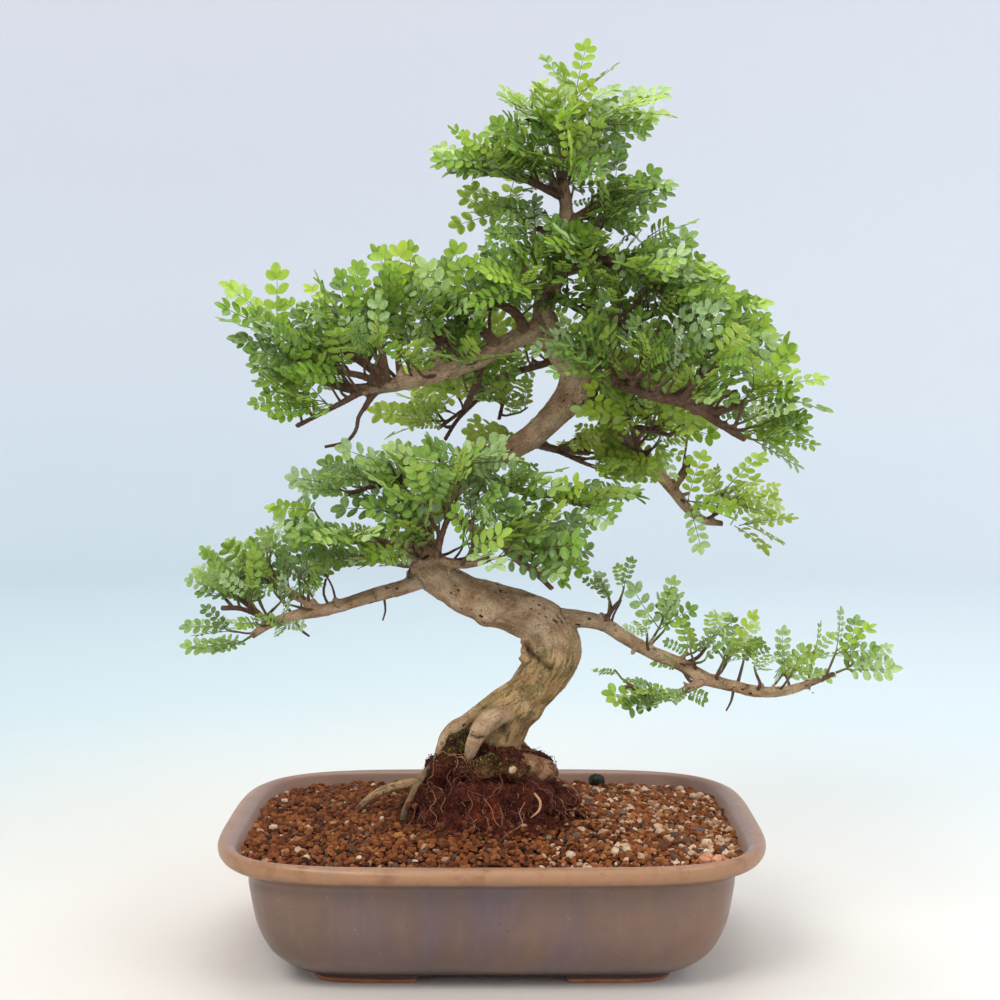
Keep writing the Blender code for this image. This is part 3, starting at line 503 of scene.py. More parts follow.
def tube_body(route, radii, sides):
    """Points and faces of a closed round bar along a route, tapered by its radii."""
    route = np.asarray(route, dtype=float)
    radii = np.broadcast_to(np.asarray(radii, dtype=float), len(route))
    tangents = np.gradient(route, axis=0)
    tangents /= np.linalg.norm(tangents, axis=1)[:, None] + 1e-12
    across = np.cross(tangents[0], (0.3, 0.2, 1.0))
    if np.linalg.norm(across) < 0.1:
        across = np.cross(tangents[0], (1.0, 0.0, 0.0))
    points = [route[0]]
    angles = np.arange(sides) * math.tau / sides
    for centre, tangent, radius in zip(route, tangents, radii):
        across = across - tangent * np.dot(across, tangent)
        across /= np.linalg.norm(across) + 1e-12
        other = np.cross(tangent, across)
        ring = np.outer(np.cos(angles), across) + np.outer(np.sin(angles), other)
        points.extend(centre + radius * ring)
    points.append(route[-1])
    return np.array(points), ring_faces(sides, len(route))


def noise_at(points, scale, seed=0.0):
    """Smooth noise between about -1 and 1 at each point."""
    shift = Vector((seed * 17.3, seed * 5.1, seed * 9.7))
    return np.array([noise.noise(Vector(point) * scale + shift) for point in points])


# Materials

class Shading:
    """Builds one node-based material, a step at a time."""

    def __init__(self, name):
        self.material = bpy.data.materials.new(name)
        self.material.use_nodes = True
        self.tree = self.material.node_tree
        self.shader = self.tree.nodes["Principled BSDF"]
        self.place = self.node("ShaderNodeTexCoord").outputs["Object"]

    def node(self, kind, **settings):
        made = self.tree.nodes.new(kind)
        for key, value in settings.items():
            setattr(made, key, value)
        return made

    def link(self, output, socket):
        if isinstance(output, bpy.types.NodeSocket):
            self.tree.links.new(output, socket)
        else:
            socket.default_value = output

    def value(self, name, kind="Fac"):
        return self.node("ShaderNodeAttribute", attribute_name=name).outputs[kind]

    def math(self, operation, first, second=0.0, clamp=False):
        made = self.node("ShaderNodeMath", operation=operation, use_clamp=clamp)
        self.link(first, made.inputs[0])
        self.link(second, made.inputs[1])
        return made.outputs[0]

    def times(self, first, second, clamp=False):
        return self.math("MULTIPLY", first, second, clamp)

    def plus(self, first, second):
        return self.math("ADD", first, second)

    def rest(self, share):
        """What is left of 1."""
        return self.math("SUBTRACT", 1.0, share)

    def swing(self, value, reach):
        """A noise's swing about its middle, times a reach."""
        return self.times(self.math("SUBTRACT", value, 0.5), reach)

    def spots(self, scale, hard, soft):
        """Small round spots: 1 inside, 0 from the soft edge outwards."""
        return self.range(self.cells(scale), hard, soft, 1.0, 0.0)

    def stretched(self, vector, scale):
        made = self.node("ShaderNodeMapping")
        self.link(vector, made.inputs["Vector"])
        made.inputs["Scale"].default_value = scale
        return made.outputs["Vector"]

    def noise(self, scale, detail=4.0, roughness=0.5, vector=None, distortion=0.0):
        made = self.node("ShaderNodeTexNoise")
        self.link(vector or self.place, made.inputs["Vector"])
        made.inputs["Scale"].default_value = scale
        made.inputs["Detail"].default_value = detail
        made.inputs["Roughness"].default_value = roughness
        made.inputs["Distortion"].default_value = distortion
        return made.outputs["Fac"]

    def cells(self, scale, feature="F1", vector=None):
        made = self.node("ShaderNodeTexVoronoi", feature=feature)
        self.link(vector or self.place, made.inputs["Vector"])
        made.inputs["Scale"].default_value = scale
        return made.outputs["Distance"]

    def range(self, value, low, high, to_low=0.0, to_high=1.0):
        made = self.node("ShaderNodeMapRange", interpolation_type="SMOOTHSTEP")
        self.link(value, made.inputs["Value"])
        numbers = {"From Min": low, "From Max": high, "To Min": to_low, "To Max": to_high}
        for socket, number in numbers.items():
            made.inputs[socket].default_value = number
        return made.outputs["Result"]

    def ramp(self, value, *stops):
        """Colours by value: each stop is a place and a colour."""
        made = self.node("ShaderNodeValToRGB")
        self.link(value, made.inputs["Fac"])
        stretch = made.color_ramp.elements
        while len(stretch) < len(stops):
            stretch.new(0.5)
        for element, (place, colour) in zip(stretch, stops):
            element.position = place
            element.color = (*linear(colour), 1)
        return made.outputs["Color"]

    def mix(self, share, first, second, kind="MIX"):
        made = self.node("ShaderNodeMix", data_type="RGBA", blend_type=kind)
        self.link(share, made.inputs["Factor"])
        for value, socket in ((first, made.inputs[6]), (second, made.inputs[7])):
            self.link(value if isinstance(value, bpy.types.NodeSocket) else (*linear(value), 1), socket)
        return made.outputs[2]

    def bump(self, height, distance, strength=1.0, after=None):
        made = self.node("ShaderNodeBump")
        self.link(height, made.inputs["Height"])
        made.inputs["Distance"].default_value = distance
        made.inputs["Strength"].default_value = strength
        if after is not None:
            self.link(after, made.inputs["Normal"])
        return made.outputs["Normal"]

    def finish(self, colour, roughness, normal=None, **constants):
        self.link(colour, self.shader.inputs["Base Color"])
        self.link(roughness, self.shader.inputs["Roughness"])
        if normal is not None:
            self.link(normal, self.shader.inputs["Normal"])
        for name, value in constants.items():
            self.shader.inputs[name.replace("_", " ")].default_value = value
        return self.material


def linear(colour):
    """A colour named by its screen values, 0 to 255, as the shader needs it."""
    shares = [value / 255 for value in colour]
    return tuple(share / 12.92 if share <= 0.04045 else ((share + 0.055) / 1.055) ** 2.4
                 for share in shares)


def glaze_material():
    """Satin stoneware glaze: violet-grey body, warm tan lip, dark foot ring and bare clay below."""
    make = Shading("glaze_stoneware")
    parts = make.node("ShaderNodeSeparateXYZ")
    make.link(make.place, parts.inputs[0])
    along, height = parts.outputs["X"], parts.outputs["Z"]
    drips = make.noise(26, 5, 0.6, make.stretched(make.place, (1, 1, 0.09)))
    fine_drips = make.noise(120, 4, 0.6, make.stretched(make.place, (1, 1, 0.05)))
    clouds = make.noise(9, 3, 0.5)
    mottle = make.noise(65, 4, 0.6)

    middle = make.range(make.math("ABSOLUTE", along), 0.03, 0.17, 1.0, 0.0)
    violet = make.times(middle, make.range(drips, 0.36, 0.66), clamp=True)
    warm_body = make.ramp(clouds, (0.30, (98, 79, 67)), (0.52, (114, 88, 74)), (0.74, (126, 96, 79)))
    body = make.mix(make.times(violet, 0.75), warm_body, (98, 82, 92))
    body = make.mix(make.range(fine_drips, 0.42, 0.75, 0.0, 0.16), body, (134, 116, 112))
    body = make.mix(make.range(mottle, 0.25, 0.50, 0.30, 0.0), body, (88, 72, 68))

    wavy = make.plus(height, make.swing(clouds, 0.009))
    low = make.range(wavy, 0.0105, 0.0165, 1.0, 0.0)
    body = make.mix(make.times(low, 0.9), body, (58, 42, 36))
    lip_colour = make.ramp(mottle, (0.30, (132, 92, 62)), (0.50, (158, 114, 80)), (0.72, (142, 108, 82)))
    lip_start = make.plus(height, make.swing(drips, 0.010))
    lip = make.range(lip_start, 0.0835, 0.0905)
    body = make.mix(lip, body, lip_colour)
    inside = make.value("inside")
    well = make.ramp(clouds, (0.3, (128, 98, 84)), (0.7, (150, 116, 98)))
    body = make.mix(inside, body, well)

    clay_edge = make.range(wavy, 0.0028, 0.0042, 1.0, 0.0)
    clay = make.ramp(mottle, (0.3, (150, 84, 54)), (0.7, (191, 128, 92)))
    bare = make.math("MAXIMUM", clay_edge, make.value("underside"))
    colour = make.mix(bare, body, clay)
    pits = make.times(make.spots(95, 0.035, 0.07),
                      make.range(make.noise(38, 2), 0.52, 0.62))
    colour = make.mix(pits, colour, (84, 50, 38))
    specks = make.times(make.spots(230, 0.05, 0.12),
                        make.range(make.noise(60, 2), 0.50, 0.60))
    colour = make.mix(make.times(specks, 0.5), colour, (196, 180, 168))

    roughness = make.plus(make.range(mottle, 0.3, 0.7, 0.30, 0.42), make.times(bare, 0.42))
    skin = make.bump(make.noise(420, 3, 0.6), 0.00012, 0.5)
    waves = make.bump(make.noise(30, 2, 0.5), 0.0012, 0.35, skin)
    surface = make.bump(make.rest(pits), 0.0006, 0.6, waves)
    return make.finish(colour, roughness, surface, Specular_IOR_Level=0.45, Coat_Weight=0.12,
                       Coat_Roughness=0.3)


def grain_material():
    """Crumbly fired-clay grains, each in its own shade, with pumice and lava among them."""
    make = Shading("akadama_grains")
    shade, kind = make.value("shade"), make.value("kind")
    clay = make.ramp(shade, (0.0, (50, 24, 13)), (0.3, (94, 48, 24)), (0.55, (126, 70, 34)),
                     (0.8, (152, 92, 48)), (1.0, (182, 122, 72)))
    pumice = make.ramp(shade, (0.0, (150, 112, 84)), (0.5, (196, 158, 126)), (1.0, (226, 202, 176)))
    lava = make.ramp(shade, (0.0, (44, 34, 31)), (0.6, (96, 82, 76)), (1.0, (150, 136, 126)))
    colour = make.mix(make.range(kind, 0.4, 0.6), clay, pumice)
    colour = make.mix(make.range(kind, 1.4, 1.6), colour, lava)
    crumbs = make.noise(900, 4, 0.65)
    colour = make.mix(make.range(crumbs, 0.3, 0.55, 0.45, 0.0), colour, (52, 28, 18))
    colour = make.mix(make.range(crumbs, 0.58, 0.78, 0.0, 0.35), colour, (206, 150, 104))
    surface = make.bump(crumbs, 0.0006, 0.8)
    return make.finish(colour, 0.88, surface, Specular_IOR_Level=0.25)


def bed_material():
    """Dark earth that shows between the grains, darker than the grains: painted shade in the gaps."""
    make = Shading("earth_bed")
    crumbs = make.noise(260, 6, 0.7)
    colour = make.ramp(crumbs, (0.3, (34, 18, 12)), (0.55, (70, 38, 24)), (0.8, (112, 66, 40)))
    surface = make.bump(crumbs, 0.002, 0.9)
    return make.finish(colour, 0.92, surface, Specular_IOR_Level=0.2)


def plastic_material():
    """Moulded black mesh, a little dusty."""
    make = Shading("moulded_black_mesh")
    dust = make.noise(90, 5, 0.6)
    colour = make.ramp(dust, (0.35, (24, 24, 25)), (0.6, (38, 36, 35)), (0.85, (86, 66, 52)))
    grain = make.bump(make.noise(1500, 2), 0.0001, 0.6)
    return make.finish(colour, make.range(dust, 0.3, 0.8, 0.42, 0.8), grain)


def bark_material():
    """Grey-tan speckled bark with pits, cross cracks and algae, ridged and ochre low on the trunk."""
    make = Shading("bark_prickly_ash")
    grain = make.value("grain", "Vector")
    age = make.value("age")
    fresh = make.value("fresh")
    crease = make.value("crease")
    ridges = make.noise(330, 5, 0.6, make.stretched(grain, (1, 1, 0.24)), 0.6)
    cross_cracks = make.noise(300, 4, 0.6, make.stretched(grain, (0.4, 0.4, 1.8)))
    patches = make.noise(42, 4, 0.6)
    speckle = make.noise(620, 5, 0.75)
    grit = make.noise(1500, 3, 0.7)

    smooth_bark = make.ramp(patches, (0.28, (150, 116, 86)), (0.44, (192, 154, 118)),
                            (0.58, (220, 186, 150)), (0.76, (172, 140, 106)))
    ochre = make.ramp(patches, (0.30, (172, 132, 82)), (0.50, (210, 170, 114)), (0.70, (226, 192, 146)))
    colour = make.mix(make.range(age, 0.15, 0.9), smooth_bark, ochre)
    ridge_share = make.times(make.range(ridges, 0.38, 0.50, 1.0, 0.0),
                             make.range(age, 0.2, 0.9, 0.20, 0.72))
    colour = make.mix(ridge_share, colour, (92, 68, 38))
    algae = make.times(make.range(make.noise(58, 5, 0.7), 0.48, 0.64),
                       make.range(age, 0.1, 0.7, 0.16, 0.72))
    colour = make.mix(algae, colour, (108, 108, 52))
    rust = make.times(make.range(make.noise(80, 4), 0.52, 0.68), 0.5)
    colour = make.mix(rust, colour, (138, 88, 52))
    colour = make.mix(make.range(speckle, 0.30, 0.47, 0.75, 0.0), colour, (66, 48, 32))
    colour = make.mix(make.range(speckle, 0.54, 0.68, 0.0, 0.65), colour, (222, 198, 164))
    colour = make.mix(make.range(grit, 0.35, 0.5, 0.35, 0.0), colour, (58, 44, 32))

    pit_cells = make.plus(make.cells(300, vector=make.stretched(grain, (1, 1, 0.75))),
                          make.swing(speckle, 0.5))
    pits = make.times(make.range(pit_cells, 0.14, 0.30, 1.0, 0.0),
                      make.range(make.noise(62, 3), 0.52, 0.58))
    unpitted = make.math("MAXIMUM", fresh, make.range(age, 0.3, 0.9, 0.0, 0.75))
    pits = make.times(pits, make.rest(unpitted))
    colour = make.mix(pits, colour, (32, 24, 18))
    cork = make.times(make.spots(620, 0.12, 0.28),
                      make.range(make.noise(110, 2), 0.44, 0.56))
    colour = make.mix(make.times(cork, 0.75), colour, (214, 196, 164))
    cracks = make.range(cross_cracks, 0.30, 0.36, 1.0, 0.0)
    colour = make.mix(make.times(cracks, make.range(age, 0.2, 0.9, 0.6, 0.25)), colour, (52, 38, 26))
    # Painted shade along the folds and cracks
    colour = make.mix(make.range(crease, 0.1, 0.8, 0.0, 0.8), colour, (46, 36, 24))
    young = make.ramp(speckle, (0.3, (46, 26, 20)), (0.52, (84, 50, 36)), (0.72, (128, 88, 62)))
    colour = make.mix(fresh, colour, young)
    colour = make.mix(make.times(make.value("cut"), 0.7), colour, (206, 166, 126))

    surface = make.bump(ridges, 0.0036, 1.0)
    surface = make.bump(speckle, 0.0014, 0.9, surface)
    surface = make.bump(make.math("SUBTRACT", cork, pits), 0.0010, 0.9, surface)
    surface = make.bump(cracks, -0.0008, 0.8, surface)
    roughness = make.range(speckle, 0.3, 0.7, 0.66, 0.84)
    return make.finish(colour, roughness, surface, Specular_IOR_Level=0.3)


def mat_material():
    """Matted dark red-brown roots and peat, with a tan knob, a straw ledge and a rusty patch, and painted
    shade in its hollows.
    """
    make = Shading("root_mat")
    tangle = make.noise(340, 6, 0.72, make.stretched(make.place, (1, 1, 0.6)), 1.6)
    colour = make.ramp(tangle, (0.34, (28, 12, 8)), (0.48, (80, 32, 20)), (0.60, (126, 56, 34)),
                       (0.78, (168, 106, 72)))
    straw = make.ramp(tangle, (0.34, (52, 34, 18)), (0.50, (116, 84, 48)), (0.70, (176, 142, 92)))
    rust = make.ramp(tangle, (0.34, (96, 34, 12)), (0.52, (168, 70, 26)), (0.72, (206, 108, 50)))
    wood = make.ramp(make.noise(160, 5, 0.65), (0.32, (134, 90, 62)), (0.5, (186, 138, 100)),
                     (0.68, (212, 170, 130)))
    ragged = make.swing(make.noise(110, 5, 0.75), 2.4)
    patches = [("ledge", 0.35, 0.75, 1.0, straw), ("rust", 0.60, 1.3, 0.85, rust),
               ("knob", 0.40, 0.80, 0.95, wood)]
    for patch, start, full, most, shade in patches:
        share = make.range(make.plus(make.value(patch), ragged), start, full, 0.0, most)
        colour = make.mix(share, colour, shade)
    # Painted shade: darker where the mat's surface is pushed in
    colour = make.mix(make.times(make.value("depth"), 0.65), colour, (24, 9, 6))
    surface = make.bump(tangle, 0.0040, 1.0)
    return make.finish(colour, 0.9, surface, Specular_IOR_Level=0.22)


def fibre_material():
    """Fine roots, from nearly black to pale straw."""
    make = Shading("fine_roots")
    tone = make.plus(make.value("tone"), make.swing(make.noise(240), 0.3))
    colour = make.ramp(tone, (0.0, (34, 14, 10)), (0.3, (84, 34, 22)), (0.6, (142, 82, 60)),
                       (0.82, (186, 138, 106)), (1.0, (204, 158, 92)))
    surface = make.bump(make.noise(1400, 2), 0.0002, 0.5)
    return make.finish(colour, 0.75, surface, Specular_IOR_Level=0.3)


def moss_material():
    make = Shading("moss")
    tone = make.plus(make.value("tone"), make.swing(make.noise(160), 0.5))
    colour = make.ramp(tone, (0.0, (34, 28, 14)), (0.4, (60, 54, 24)), (0.75, (98, 92, 40)),
                       (1.0, (152, 140, 76)))
    surface = make.bump(make.noise(1600, 3), 0.0004, 0.8)
    return make.finish(colour, 0.9, surface, Specular_IOR_Level=0.2)


def leaf_material():
    """Glossy leaflets, dark to fresh yellow-green, pale and dull below, with a lighter rib; their tone
    holds painted light and shade, and some have a painted whitish sheen.
    """
    make = Shading("leaf_prickly_ash")
    tone, rib, below = make.value("tone"), make.value("rib"), make.value("below")
    stalk = make.value("stalk")
    mottle = make.noise(420, 3, 0.55)
    # The tone holds painted light and shade from leaf_tones, besides each leaf's own spread
    warm = make.plus(tone, make.swing(mottle, 0.22))
    upper = make.ramp(warm, (0.0, (24, 48, 8)), (0.25, (66, 102, 14)), (0.5, (102, 140, 16)),
                      (0.75, (138, 170, 24)), (1.0, (170, 192, 44)))
    lower = make.ramp(warm, (0.0, (98, 118, 34)), (0.5, (138, 156, 46)), (1.0, (174, 188, 66)))
    sheen_share = make.times(make.value("bloom"), make.range(mottle, 0.35, 0.6, 0.35, 0.75))
    # Painted sheen: a whitish reflection painted on the upper side of some leaves
    upper = make.mix(sheen_share, upper, (184, 206, 164))
    colour = make.mix(below, upper, lower)
    colour = make.mix(make.times(rib, 0.45), colour, (150, 182, 92))
    stem = make.ramp(warm, (0.0, (92, 70, 40)), (0.45, (104, 112, 50)), (1.0, (150, 176, 80)))
    colour = make.mix(stalk, colour, stem)
    surface = make.bump(mottle, 0.0003, 0.35)
    gloss = make.plus(make.range(mottle, 0.3, 0.7, 0.28, 0.38), make.times(below, 0.25))
    return make.finish(colour, gloss, surface, Specular_IOR_Level=0.26, Subsurface_Weight=0.22,
                       Subsurface_Radius=(0.6, 1.0, 0.25), Subsurface_Scale=0.0015)


def chip_material(name, dark, middle, light, scale):
    """A small stray bit: a nut, a lump of charcoal or a snail shell."""
    make = Shading(name)
    bands = make.noise(scale, 4, 0.6, make.stretched(make.place, (1, 0.4, 1)), 0.8)
    colour = make.ramp(bands, (0.3, dark), (0.5, middle), (0.72, light))
    surface = make.bump(bands, 0.0012, 0.8)
    return make.finish(colour, 0.7, surface, Specular_IOR_Level=0.3)


# Stage

def floor_material():
    make = Shading("stage_paper")
    parts = make.node("ShaderNodeSeparateXYZ")
    make.link(make.place, parts.inputs[0])
    flat = make.node("ShaderNodeVectorMath", operation="LENGTH")
    make.link(make.place, flat.inputs[0])
    fibres = make.swing(make.noise(3, 3), 0.06)
    spread = make.plus(flat.outputs["Value"], fibres)
    # Darker and warm near the pot, where the lamps are strongest, lighter and bluer further out where they
    # reach less: painted shade and light that even out the lamps' fall-off
    colour = make.ramp(make.math("DIVIDE", spread, 5.0), (0.04, (215, 206, 196)), (0.10, (207, 207, 201)),
                       (0.20, (196, 211, 214)), (0.42, (207, 223, 229)), (0.62, (213, 225, 232)),
                       (0.76, (232, 230, 236)))
    # Lighter towards the right
    right = make.range(parts.outputs["X"], -1.0, 1.7, 0.0, 0.42)
    colour = make.mix(right, colour, (240, 245, 250))
    return make.finish(colour, 0.9, None, Specular_IOR_Level=0.1)


def build_stage():
    """A round paper sweep: a flat pale floor whose far edge curves up all the way round."""
    floor_radius, bend, height = 2.5, 1.0, 3.2
    profile = [(0.5, 0.0), (1.5, 0.0), (floor_radius, 0.0)]
    for step in range(1, 13):
        angle = math.pi / 2 * step / 12
        profile.append((floor_radius + bend * math.sin(angle), bend * (1 - math.cos(angle))))
    profile.append((floor_radius + bend, height))
    steps = 96
    points = [(0, 0, 0)]
    for radius, up in profile:
        for step in range(steps):
            angle = math.tau * step / steps
            points.append((radius * math.cos(angle), radius * math.sin(angle), up))
    faces = ring_faces(steps, len(profile), closed=False, flip=True)
    sweep = add_object("paper_sweep", make_mesh("paper_sweep", points, faces))
    sweep.location = HOME
    sweep.data.materials.append(floor_material())


def add_light(name, place, target, size, power, colour):
    lamp = bpy.data.lights.new(name, "AREA")
    lamp.shape = "DISK"
    lamp.size = size
    lamp.energy = power
    lamp.color = colour
    holder = add_object(name, lamp)
    holder.location = HOME + Vector(place)
    holder.rotation_euler = (Vector(target) - Vector(place)).to_track_quat("-Z", "Y").to_euler()


def build_lights():
    add_light("key", (-0.9, -1.5, 1.9), (0, 0, 0.3), 1.1, 29, (1.0, 0.98, 0.94))
    add_light("fill", (1.5, -1.2, 1.2), (0, 0, 0.3), 1.2, 12, (1.0, 0.99, 0.97))
    add_light("overhead", (0.1, 0.3, 2.1), (0, 0, 0.2), 1.6, 19, (1.0, 1.0, 0.99))
    world = bpy.data.worlds.new("studio")
    bpy.context.scene.world = world
    world.use_nodes = True
    sky = world.node_tree.nodes["Background"]
    sky.inputs["Color"].default_value = (0.97, 0.985, 1.0, 1)
    sky.inputs["Strength"].default_value = 0.93
    bpy.context.scene.view_settings.view_transform = "Standard"


def build_camera():
    lens = bpy.data.cameras.new("camera")
    lens.lens = CAMERA_LENS
    lens.sensor_width = 36
    holder = add_object("camera", lens)
    holder.location = HOME + CAMERA_PLACE
    holder.rotation_euler = (math.radians(90 - CAMERA_TILT), 0, 0)
    bpy.context.scene.camera = holder


# Pot

def outline_power(inset):
    return RIM_POWER + (FOOT_POWER - RIM_POWER) * inset / FOOT_INSET


def pot_outline(inset, count):
    """The pot's outline pulled in by inset, as points at even steps along it."""
    half_width = POT_WIDTH / 2 - inset
    half_depth = POT_DEPTH / 2 - inset * DEPTH_SHARE
    bend = 2 / outline_power(inset)
    angles = np.linspace(0, math.tau, 4001)
    across, along_side = np.cos(angles), np.sin(angles)
    x = half_width * np.sign(across) * np.abs(across) ** bend
    y = half_depth * np.sign(along_side) * np.abs(along_side) ** bend
    travelled = np.concatenate([[0], np.cumsum(np.hypot(np.diff(x), np.diff(y)))])
    wanted = np.arange(count) * travelled[-1] / count
    return np.column_stack([np.interp(wanted, travelled, x), np.interp(wanted, travelled, y)])


def foot_lift(x, y):
    """How far the foot's underside is raised where the openings between the feet are."""
    def window(distance, length):
        edge = 0.0035
        return np.clip((length / 2 + edge / 2 - np.abs(distance)) / edge, 0, 1)
    front = window(x, FRONT_ARCH)
    side = window(y, SIDE_ARCH)
    share = np.maximum(front, side)
    return ARCH_HEIGHT * share * share * (3 - 2 * share)


def build_pot(material):
    outside = smooth_route([(inset, height, 0) for inset, height in OUTER_PROFILE[:10]], 2.2)[:, :2]
    inside = smooth_route([(inset, height, 0) for inset, height in INNER_PROFILE], 4.0)[:, :2]
    foot = [(67.5, 5.6), (69.2, 3.2), (70.2, 1.0), (70.8, 0.25), (71.6, 0), (79, 0), (87, 0),
            (88, 0.8), (88, 5), (88, 9)]
    profile = [(52, 19), (55, 19)] + list(inside[:-1]) + [(9, 99.4), (6.2, 99.2)] + list(outside) + foot
    rows = []
    inner_count = 2 + len(inside)
    for inset, height in profile:
        ring = pot_outline(inset * MM, POT_STEPS)
        level = np.full(POT_STEPS, height * MM)
        if inset > 64 and height < 8:
            level = np.maximum(level, foot_lift(ring[:, 0], ring[:, 1]))
        rows.append(np.column_stack([ring, level]))
    points = np.vstack([[(0, 0, FLOOR_TOP)], *rows, [(0, 0, FLOOR_BOTTOM)]])
    mesh = make_mesh("pot_glazed", points.tolist(), ring_faces(POT_STEPS, len(profile), flip=True))
    wall = np.zeros(len(points))
    wall[:1 + inner_count * POT_STEPS] = 1
    under = np.zeros(len(points))
    under[-1 - 6 * POT_STEPS:] = 1
    add_numbers(mesh, "inside", wall)
    add_numbers(mesh, "underside", under)
    pot = add_piece("pot_glazed", mesh, material, "glaze", "pot")
    drill_drains(pot)
    pot.data.set_sharp_from_angle(angle=math.radians(50))
    return pot


def drill_drains(pot):
    """Cut the two round drain holes through the floor."""
    bm = bmesh.new()
    for side in (-1, 1):
        place = Matrix.Translation((side * DRAIN_SPACING / 2, 0, (FLOOR_TOP + FLOOR_BOTTOM) / 2))
        bmesh.ops.create_cone(bm, cap_ends=True, segments=40, radius1=DRAIN_DIAMETER / 2,
                              radius2=DRAIN_DIAMETER / 2, depth=0.030, matrix=place)
    mesh = bpy.data.meshes.new("drain_drill")
    bm.to_mesh(mesh)
    bm.free()
    drill = add_object("drain_drill", mesh)
    drill.location = pot.location
    cut = pot.modifiers.new("drains", "BOOLEAN")
    cut.operation = "DIFFERENCE"
    cut.solver = "EXACT"
    cut.object = drill
    bake_modifiers(pot)
    bpy.data.objects.remove(drill)


def bake_modifiers(piece):
    bpy.context.view_layer.update()
    seen = piece.evaluated_get(bpy.context.evaluated_depsgraph_get())
    mesh = bpy.data.meshes.new_from_object(seen)
    piece.modifiers.clear()
    old = piece.data
    mesh.name = old.name
    piece.data = mesh
    bpy.data.meshes.remove(old)


# Soil

SOIL_POWER = outline_power(SOIL_INSET)
SOIL_HALF_WIDTH = POT_WIDTH / 2 - SOIL_INSET
SOIL_HALF_DEPTH = POT_DEPTH / 2 - SOIL_INSET * DEPTH_SHARE


def rim_gauge(x, y):
    """0 in the middle, 1 where the soil meets the pot."""
    across = abs(x / SOIL_HALF_WIDTH) ** SOIL_POWER
    return (across + abs(y / SOIL_HALF_DEPTH) ** SOIL_POWER) ** (1 / SOIL_POWER)


def ball_radius(angle, share):
    """Distance from the root ball's middle to its lobed outline at a share of its full size."""
    lobes = 1 + 0.05 * math.sin(3 * angle + 0.8) + 0.03 * math.sin(5 * angle)
    return math.hypot(math.cos(angle) * BALL_HALF_WIDTH, math.sin(angle) * BALL_HALF_DEPTH) * share * lobes


def ball_gauge(x, y):
    """1 at the root ball's outline, more outside it."""
    dx, dy = (x - BALL_CENTRE.x) / BALL_HALF_WIDTH, (y - BALL_CENTRE.y) / BALL_HALF_DEPTH
    angle = math.atan2(dy, dx)
    return math.hypot(dx, dy) / (1 + 0.05 * math.sin(3 * angle + 0.8) + 0.03 * math.sin(5 * angle))


def soil_height(x, y):
    """Top of the soil: highest round the root ball, lowest at the rim, in soft humps."""
    to_rim = max(1 - rim_gauge(x, y), 0) * 0.125
    to_ball = max(ball_gauge(x, y) - 1, 0) * 0.055
    share = to_rim / (to_rim + to_ball + 1e-9)
    hump = 0.0014 * noise.noise((x * 28, y * 28, 3.1)) * min(1, 4 * share)
    return SOIL_EDGE + (SOIL_CREST - SOIL_EDGE) * math.sin(share * math.pi / 2) + hump


def build_soil_bed(material):
    """The earth under the grains, from the pot's wall to the root ball, with its sides and base."""
    steps, rings = 160, 26
    edge = pot_outline(SOIL_INSET + 0.0004, steps)
    rows = []
    for inset, height in reversed([pair for pair in INNER_PROFILE if pair[1] < SOIL_EDGE / MM]):
        ring = pot_outline(inset * MM + 0.0008, steps)
        rows.insert(0, np.column_stack([ring, np.full(steps, height * MM + 0.0004)]))
    rows.append(np.column_stack([edge, np.full(steps, SOIL_EDGE - 0.002)]))
    for number in range(rings + 1):
        share = number / rings
        ring = []
        for x, y in edge:
            angle = math.atan2((y - BALL_CENTRE.y) / BALL_HALF_DEPTH, (x - BALL_CENTRE.x) / BALL_HALF_WIDTH)
            reach = ball_radius(angle, 0.92)
            dx, dy = math.cos(angle) * BALL_HALF_WIDTH, math.sin(angle) * BALL_HALF_DEPTH
            length = math.hypot(dx, dy)
            inner_x = BALL_CENTRE.x + dx / length * reach
            inner_y = BALL_CENTRE.y + dy / length * reach
            px, py = x + (inner_x - x) * share, y + (inner_y - y) * share
            crumb = 0.0009 * noise.noise((px * 260, py * 260, 0.5))
            ring.append((px, py, soil_height(px, py) - 0.0022 + crumb))
        rows.append(np.array(ring))
    points = np.vstack([[(0, 0, 0.0194)], *rows, [(BALL_CENTRE.x, BALL_CENTRE.y, SOIL_CREST - 0.004)]])
    mesh = make_mesh("soil_bed", points.tolist(), ring_faces(steps, len(rows)))
    add_piece("soil_bed", mesh, material, "earth", "soil")


def round_stone(level):
    bm = bmesh.new()
    bmesh.ops.create_icosphere(bm, subdivisions=level, radius=1)
    points = np.array([vertex.co[:] for vertex in bm.verts])
    faces = [tuple(vertex.index for vertex in face.verts) for face in bm.faces]
    bm.free()
    return points, faces


def grain_body(draw, template, size):
    """A blunt angular grain: a ball squeezed along three axes and knocked out of round."""
    points, faces = template
    squeeze = np.array([draw.uniform(0.85, 1.25), draw.uniform(0.72, 1.05), draw.uniform(0.6, 0.9)])
    knocks = np.array([draw.uniform(0.70, 1.14) for point in points])
    turn = np.array(Matrix.Rotation(draw.uniform(0, math.tau), 3, "Z")
                    @ Matrix.Rotation(draw.uniform(-0.7, 0.7), 3, "X")
                    @ Matrix.Rotation(draw.uniform(-0.7, 0.7), 3, "Y"))
    return (points * knocks[:, None] * squeeze * size / 2) @ turn.T, faces


def grain_kind(draw, x, y):
    """0 clay, 1 pumice or 2 lava: pumice lies mostly at the right, as in the photo."""
    right = min(max((x - 0.01) / 0.11, 0), 1)
    roll = draw.random()
    if roll < 0.025 + 0.21 * right:
        return 1
    return 2 if roll < 0.055 + 0.29 * right else 0


